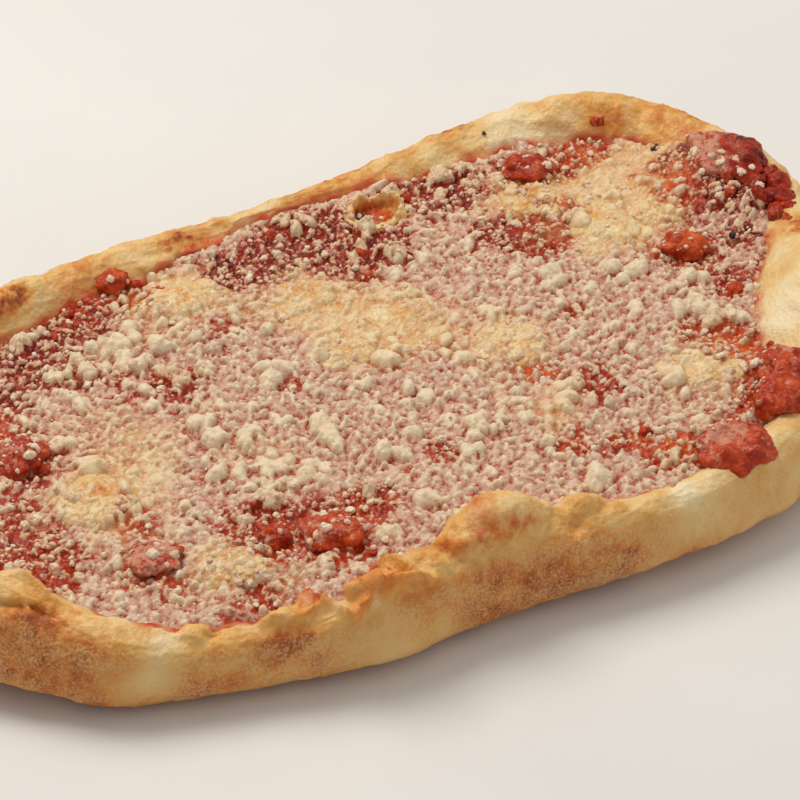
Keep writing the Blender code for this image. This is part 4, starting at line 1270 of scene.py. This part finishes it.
# x, y and reach in mm of the tops that powdery cheese has whitened, then how much.
POWDERED_PLACES = (
    (-64, -22, 4, 0.8), (95, 23, 5, 0.8), (93, 14, 4, 0.6), (39.5, -55, 2.5, 0.8),
    (46, -56, 2, 0.4), (-37, -34, 3, 0.4), (-73, 18, 2.5, 0.4), (66, -42, 3, 0.3),
    (103, 14, 6, -0.6), (100, 3, 5, -0.4),
)
# The same of flesh that is more orange than the rest, or, below zero, darker.
WARM_PLACES = (
    (76, 0, 3, 0.6), (79, -1, 2, 0.7), (-32, -36, 4, 0.4), (-28, 55, 3, 0.5), (57, -51, 4, 0.3),
    (103, 14, 6, -0.4), (100, 3, 5, -0.4), (41, -58, 5, 0.2), (-71, 16, 4, -0.2),
)
DENTS = 1.6
PIECE_DENT = 0.3
HOLLOW_PIECE = 0  # a round slice at the right front, whose middle has sunk
TOMATO_SEED = 40


def ball(detail):
    """Directions and faces of a ball of triangles."""
    shape = bmesh.new()
    bmesh.ops.create_icosphere(shape, subdivisions=detail, radius=1)
    places = np.array([v.co for v in shape.verts])
    faces = np.array([[v.index for v in face.verts] for face in shape.faces])
    shape.free()
    return places / np.linalg.norm(places, axis=1)[:, None], faces


def lump_places(directions, middle, half_sizes, turn, dent, seed):
    """A dented, squashed ball: the solid model's own formula."""
    start = Vector((seed, seed * 0.7, 0))
    swell = 1 + dent * np.array([noise.noise(Vector(v) * DENTS + start) for v in directions])
    places = directions * np.array(half_sizes) * swell[:, None]
    c, s = math.cos(math.radians(turn)), math.sin(math.radians(turn))
    x = places[:, 0] * c - places[:, 1] * s
    y = places[:, 0] * s + places[:, 1] * c
    return np.column_stack([x, y, places[:, 2]]) + middle


fine_ball, fine_faces = ball(6)
tomatoes = []
for number, (x, y, a, b, c, turn, height) in enumerate(TOMATO_PIECES):
    places = lump_places(fine_ball, (x, y, height), (a, b, c), turn, PIECE_DENT,
                         TOMATO_SEED + number)
    piece = new_piece(f"tomato_flesh_{number + 1:02d}", places, fine_faces.tolist(), tomato_flesh)
    relief = 0.45 * soft_noise(places, 3.4, 61) + 0.20 * soft_noise(places, 1.6, 62)
    relief += 0.5 * (0.5 - pebbles(places, 2.8, 63))
    relief += 0.22 * soft_noise(places, 1.1, 64) + 0.12 * soft_noise(places, 0.6, 65)
    if number == HOLLOW_PIECE:
        away = np.hypot(places[:, 0] - x, places[:, 1] - y)
        hollow = 0.6 * np.exp(-(((away - 4.6) / 1.1) ** 2)) - 1.3 * np.exp(-((away / 2.8) ** 2))
        relief = 0.35 * relief + hollow * (places[:, 2] > height)
        relief += 0.16 * soft_noise(places, 0.8, 66)
    move_points(piece, places + normals_of(piece) * relief[:, None])
    store(piece, dusted=changes(places, POWDERED_PLACES), warm=changes(places, WARM_PLACES))
    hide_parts(f"tomato_piece_{number + 1:02d}")
    tomatoes.append(piece)
print("tomato pieces:", len(tomatoes))

# %% [markdown]
# ## The burst blister
# A bubble of dough rose through the sauce at the back, dried out and burst. What is left
# is a pale dome with an open, ragged crater, scorched inside on one side and holding
# orange sauce on the other. It is the solid's own lump, with its top pressed in.

# %% Burst blister
BLISTER_ROOT = 2.0
BLISTER_DENT = 0.2
BLISTER_SEED = 5
CRATER_FLOOR = 15.4
FAR_WAY = (0.56, 0.83)  # towards the back right, where the lip stands highest
LIP = 0.78  # where the lip stands, as a share of the way out from the middle

x, y, half_length, half_width, blister_top = BLISTER
blister_root = DOUGH_FLOOR - BLISTER_ROOT
places = lump_places(fine_ball, (x, y, (blister_top + blister_root) / 2),
                     (half_length, half_width, (blister_top - blister_root) / 2), 0,
                     BLISTER_DENT, BLISTER_SEED)
out = blister_distance(places) + 0.09 * soft_noise(places, 2.6, 65)
far_side = smooth_step(-3.0, 3.0, (places[:, :2] - (x, y)) @ FAR_WAY)
upper = smooth_step(14.8, 16.0, places[:, 2])
crater = upper * smooth_step(LIP - 0.02, 0.58, out)
places[:, 2] -= crater * (places[:, 2] - CRATER_FLOOR)
lip = np.exp(-(((out - LIP) / 0.09) ** 2)) * (1 + 0.9 * soft_noise(places, 2.2, 69))
places[:, 2] += upper * lip * (1.5 * far_side - 0.4)
blister = new_piece("burst_blister", places, fine_faces.tolist(), baked_dough)
relief = 0.4 * soft_noise(places, 2.0, 66) + 0.28 * soft_noise(places, 0.9, 67)
relief += 0.7 * crater * (0.5 - pebbles(places, 1.1, 68))
move_points(blister, places + normals_of(blister) * relief[:, None])
scorched = spots(places, ((27.2, 48.4, 16, 1.1, 0.5), (26.6, 47.6, 16, 2.4, 0.22)))
orange = spots(places, ((31.8, 46.6, 16, 2.5, 0.5), (30.6, 49.5, 17, 2.0, 0.35)))
patchy = soft_noise(places, 1.6, 68)
store(blister, bake=0.16 + 0.16 * patchy + (0.38 + scorched) * crater,
      flour=0.35 * (1 - crater), stain=(orange - 0.4 * scorched) * crater + 0.12 + 0.2 * patchy)
print("burst blister:", len(fine_faces), "faces")

# %% [markdown]
# ## Grated hard cheese
# The cheese was grated to crumbs from dust to soft lumps as long as a fingernail is wide.
# The large ones have sunk in and are part of the sheet. What is made here lies loose on
# the smooth places: the bare sauce, the pools and the tomato. Each crumb is a cluster of
# small rounded bits. It only sweats a little fat, and light passes through it, so its
# shaded side stays pale. Sauce soaks up into its foot and turns it pink.

# %% Grated cheese material
def grated_cheese_material():
    material, tree, shader, place = new_material("grated_hard_cheese")
    tone, soaked = (
        add(tree, "ShaderNodeAttribute", attribute_name=name)
        for name in ("tone", "soaked"))
    grain = add(tree, "ShaderNodeTexNoise",
                {"Vector": place, "Scale": per_mm(0.9), "Detail": 2.0, "Roughness": 0.8})
    uneven = add(tree, "ShaderNodeMath", {0: grain, 1: 0.7, 2: tone},
                 operation="MULTIPLY_ADD")
    pale = add(tree, "ShaderNodeValToRGB", {"Fac": uneven}, stops=(
        (0.30, "DABF9A"), (0.55, "E5D3B4"), (0.85, "F0E4CE")))
    pink = add(tree, "ShaderNodeMath", {0: grain, 1: soaked}, operation="ADD")
    pink = add(tree, "ShaderNodeMapRange",
               {"Value": pink, "From Min": 0.5, "From Max": 1.5})
    colour = add(tree, "ShaderNodeMix",
                 {MIX_SHARE: pink, MIX_A: pale, MIX_B: linear("D8A68C")},
                 data_type="RGBA")
    bump = add(tree, "ShaderNodeBump",
               {"Height": grain, "Strength": 0.4, "Distance": 0.0003})
    wire(tree, shader, {
        "Base Color": colour, "Normal": bump, "Roughness": 0.36, "IOR": 1.44,
        "Specular IOR Level": 0.4, "Subsurface Weight": 0.2,
        "Subsurface Radius": (1.0, 0.75, 0.55), "Subsurface Scale": 0.0004})
    return material


grated_cheese = grated_cheese_material()
print("material:", grated_cheese.name)

# %% Shapes of crumbs
CRUMB_SHAPES = 16
CRUMB_CORE = 0.32  # radius of the middle of a crumb, as a share of its length
CREASE = 18  # how sharply its bits meet


def crumb_shape(directions, seed, bits, rough):
    """A cluster of rounded bits, as one rough skin round a common middle, about 1 across."""
    draw = np.random.default_rng(seed)
    total = np.exp(CREASE * np.full(len(directions), CRUMB_CORE))
    for _ in range(bits):
        away = draw.normal(size=3) * [1.2, 1, 0.7]
        away *= draw.uniform(0.12, 0.30) / np.linalg.norm(away)
        radius = draw.uniform(0.16, 0.26)
        along = directions @ away
        square = radius**2 - away @ away + along**2
        reach = along + np.sqrt(np.clip(square, 0, None))
        total += np.exp(CREASE * np.where(square > 0, reach, 0))
    out = np.log(total) / CREASE
    for spacing, height in ((0.6, 0.14), (0.28, 0.07)):
        out *= 1 + rough * height * soft_noise(directions, spacing, seed)
    return directions * out[:, None]


print("crumb shapes of each kind:", CRUMB_SHAPES)

# %% Where crumbs lie
def ground_tree(pieces):
    """A tree of the faces that crumbs can lie on, for finding the height at a place."""
    places, faces = [], []
    for piece in pieces:
        start = len(places)
        places += places_of(piece).tolist()
        faces += [[start + v for v in face.vertices] for face in piece.data.polygons]
    return BVHTree.FromPolygons(places, faces)


print("crumbs are dropped on the faces under them")

# %% Crumbs
def crumbs(name, spots, sizes, form, bits, seed, ground, sink, soak, material=grated_cheese,
           rough=1.8, kept_off=0):
    """One piece of many crumbs: a few shapes, each turned, stretched and seated.

    None is dropped on the first kept_off faces of the ground, which are those of the dough.
    """
    draw = np.random.default_rng(seed)
    directions, ball_faces = form
    shapes = [crumb_shape(directions, seed * 50 + n, bits, rough) for n in range(CRUMB_SHAPES)]
    places, faces, tones, soaks = [], [], [], []
    total = 0
    for spot, size in zip(spots, sizes):
        hit, normal, face, _ = ground.ray_cast(Vector((spot[0], spot[1], 60)),
                                               Vector((0, 0, -1)))
        if hit is None or face < kept_off:
            continue
        shape = shapes[draw.integers(CRUMB_SHAPES)]
        stretch = np.array([1.08, 0.98, 0.9]) * draw.uniform(0.9, 1.12, 3)
        turn = Euler((draw.normal(0, 0.5), draw.normal(0, 0.5), draw.uniform(0, 6.3))).to_matrix()
        lean = Vector((0, 0, 1)).rotation_difference(normal).to_matrix()
        crumb = (shape * stretch) @ np.array(turn).T * [1, 1, 0.85]
        crumb = crumb @ np.array(lean).T * size
        rise = size * (0.43 - sink * draw.uniform(0.6, 1.3))
        crumb += np.array(hit) + np.array(normal) * rise
        places.append(crumb)
        faces.append(ball_faces + total)
        total += len(crumb)
        tones.append(np.full(len(crumb), draw.normal(0.25, 0.12)))
        low = smooth_step(0.75, -0.1, (crumb - hit) @ np.array(normal) / (0.7 * size))
        soaks.append(np.clip(soak * draw.uniform(0.2, 1.8) + 0.6 * low, 0, 1))
    piece = new_piece(name, np.vstack(places), np.vstack(faces).tolist(), material)
    store(piece, tone=np.concatenate(tones), soaked=np.concatenate(soaks))
    print(name, len(places), "crumbs,", sum(len(f) for f in faces), "triangles")
    return piece


# %% Bits of tomato, and the heap of it on the rim
def stewed(points):
    """How thickly small bits of tomato show: only where the sauce is bare."""
    return smooth_step(0.3, 0.7, rim_share(points)) * bare_share(points) ** 2


# x and y of the middle of the heap of tomato that has run up on the rim at the right.
HEAP_LINE = (
    (98, 22.5), (101, 19), (102.5, 16), (103, 13), (103.5, 9), (102, 4), (99, -0.5), (95, -3.5),
)
# x, y and length of other bits of tomato that stand out, in mm.
TOMATO_BITS = (
    (86.2, 44.6, 3.4), (84.9, 45.4, 3.0), (95, 12, 5), (98, 8, 6), (92, 8, 4.0), (96, 3, 5),
    (83.3, -11.2, 3), (74.8, -15.8, 4.5), (72, -17, 3.5), (-39, -33, 5), (-28, -32, 4),
    (-36, -38, 4), (-45, -27, 3.5), (-36.6, -44.7, 2.2), (-31.6, -45.3, 2.4), (-76, 19, 4.5),
    (-68, 12, 4),
    (-24, 52, 3.5), (-34, 53, 4), (-21, 49, 3.0),
)
draw = np.random.default_rng(7)
share = np.linspace(0, len(HEAP_LINE) - 1, 30)
heap = np.column_stack([np.interp(share, range(len(HEAP_LINE)), axis) for axis in zip(*HEAP_LINE)])
heap += draw.normal(size=heap.shape) * 1.1
extra = scatter(30, 86, stewed, 4.0)[:, :2]
spots_bits = np.vstack([heap, [(x, y) for x, y, _ in TOMATO_BITS], extra])
sizes = [*draw.uniform(4.0, 6.4, len(heap)), *[size for _, _, size in TOMATO_BITS],
         *draw.uniform(2.4, 4.0, len(extra))]
bits = crumbs("tomato_bits", spots_bits, sizes, ball(4), 7, 8, ground_tree([dough, sauce]), 0.62,
              0.0, tomato_flesh, 1.4)
store(bits, dusted=changes(places_of(bits), POWDERED_PLACES),
      warm=changes(places_of(bits), WARM_PLACES))

# %% Loose crumbs of cheese
ground = ground_tree([dough, sauce, blister, bits, *pools, *tomatoes])
dry_faces = len(dough.data.polygons)
draw = np.random.default_rng(8)


def on_smooth(points):
    """How thickly crumbs lie on the smooth places: pools, bare sauce and tomato."""
    share = smooth_step(0.4, 0.65, rim_share(points))
    melted = film_share(points)
    return share * np.clip(0.05 * melted + 0.4 * bare_share(points) * (1 - melted), 0, 1)


# x and y in mm of the crumbs that have caught in the heap at the right.
HEAP_CRUMBS = (
    (93, 8), (95, 5), (92, 12), (96, 10), (98, 6), (90, 9), (94, 14), (97, 1), (99, 10), (92, 2),
    (96, 16), (91, 16), (94, 0), (89, 3), (93, 4.5), (97, 13),
)
spots_middle = np.vstack([np.array(HEAP_CRUMBS), scatter(130, 82, on_smooth, 2.6)[:, :2]])
middle = crumbs("middle_cheese_crumbs", spots_middle, draw.uniform(1.5, 2.9, len(spots_middle)),
                ball(4), 6, 4, ground, 0.42, 0.0, kept_off=dry_faces)
spots_small = scatter(610, 83, on_smooth, 1.2)
small = crumbs("small_cheese_crumbs", spots_small, draw.uniform(0.9, 1.8, len(spots_small)),
               ball(3), 5, 5, ground, 0.40, 0.3, kept_off=dry_faces)
spots_fine = scatter(600, 84, dusting)
fine = crumbs("fine_cheese_crumbs", spots_fine, draw.uniform(0.5, 0.9, len(spots_fine)),
              ball(2), 4, 7, ground, 0.36, 0.3, kept_off=dry_faces)

# %% [markdown]
# ## Burnt flecks
# A few scraps of tomato skin and herb stand proud of the sauce and have burnt. They are
# nearly black, brown at their thin edges, rough, and no larger than a peppercorn.

# %% Burnt flecks
def burnt_material():
    material, tree, shader, place = new_material("burnt_flecks")
    patch = add(tree, "ShaderNodeTexNoise",
                {"Vector": place, "Scale": per_mm(1.2), "Detail": 4.0})
    colour = add(tree, "ShaderNodeValToRGB", {"Fac": patch}, stops=(
        (0.35, "1E120C"), (0.52, "3A2216"), (0.68, "6E3A20")))
    wire(tree, shader, {"Base Color": colour, "Roughness": 0.6, "IOR": 1.45})
    return material


BURNT_FLECKS = (
    (101.6, 17.5, 2.0), (102.9, 11.8, 1.8), (95.7, 6.0, 2.2), (85.2, -1.4, 2.0), (92.4, 33.4, 2.1),
    (93.2, 34.3, 1.3), (62.9, 54.9, 1.3), (-36, -24, 1.4), (37, -29, 1.2), (-47, -33, 1.6),
)
burnt = crumbs("burnt_flecks", [(x, y, 0) for x, y, _ in BURNT_FLECKS],
               [size for _, _, size in BURNT_FLECKS], ball(3), 4, 9, ground, 0.42, 0.0,
               burnt_material(), 2.2)

# %% [markdown]
# ## Studio
# A plain pale floor and soft light. The key is a large soft box high behind the pizza and
# a little to its left. It lights the tops of the crumbs and leaves their near sides in
# shade. A weak fill stands in front, and the pale room does the rest.

# %% Floor and light
def floor_material():
    material, tree, shader, place = new_material("pale_painted_board")
    mottle = add(tree, "ShaderNodeTexNoise",
                 {"Vector": place, "Scale": per_mm(90), "Detail": 3.0})
    colour = add(tree, "ShaderNodeValToRGB", {"Fac": mottle}, stops=(
        (0.3, "DEDBD7"), (0.7, "E4E1DD")))
    wire(tree, shader, {"Base Color": colour, "Roughness": 0.6})
    return material


FLOOR_HALF = 3.0
floor_mesh = bpy.data.meshes.new("floor")
corners = [(x * FLOOR_HALF, y * FLOOR_HALF, 0) for x, y in ((-1, -1), (1, -1), (1, 1), (-1, 1))]
floor_mesh.from_pydata(corners, [], [(0, 1, 2, 3)])
floor_mesh.materials.append(floor_material())
floor = bpy.data.objects.new("floor", floor_mesh)
bpy.context.scene.collection.objects.link(floor)
floor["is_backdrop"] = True


def soft_box(name, azimuth, elevation, distance, size, watts, colour):
    """A square area light that faces the pizza."""
    lamp = bpy.data.lights.new(name, "AREA")
    lamp.size = size
    lamp.energy = watts
    lamp.color = linear(colour)[:3]
    stand = bpy.data.objects.new(name, lamp)
    way = away_from_aim(azimuth, elevation)
    stand.location = AIM + way * distance
    stand.rotation_euler = (-way).to_track_quat("-Z", "Y").to_euler()
    bpy.context.scene.collection.objects.link(stand)


soft_box("key_light", -168, 60, 1.1, 0.6, 8.8, "FFF9F0")
soft_box("fill_light", 58, 30, 1.4, 1.0, 2.4, "FFFFFF")
world = bpy.data.worlds.new("pale_room")
world.use_nodes = True
world.node_tree.nodes["Background"].inputs["Color"].default_value = linear("F2F1EE")
world.node_tree.nodes["Background"].inputs["Strength"].default_value = 0.52
bpy.context.scene.world = world
bpy.context.scene.view_settings.view_transform = "Standard"
print("lights: key, fill and room")

# %% Size of the dressed model
low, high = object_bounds()
print("dressed size in mm:", [round((b - a) / MM, 1) for a, b in zip(low, high)])
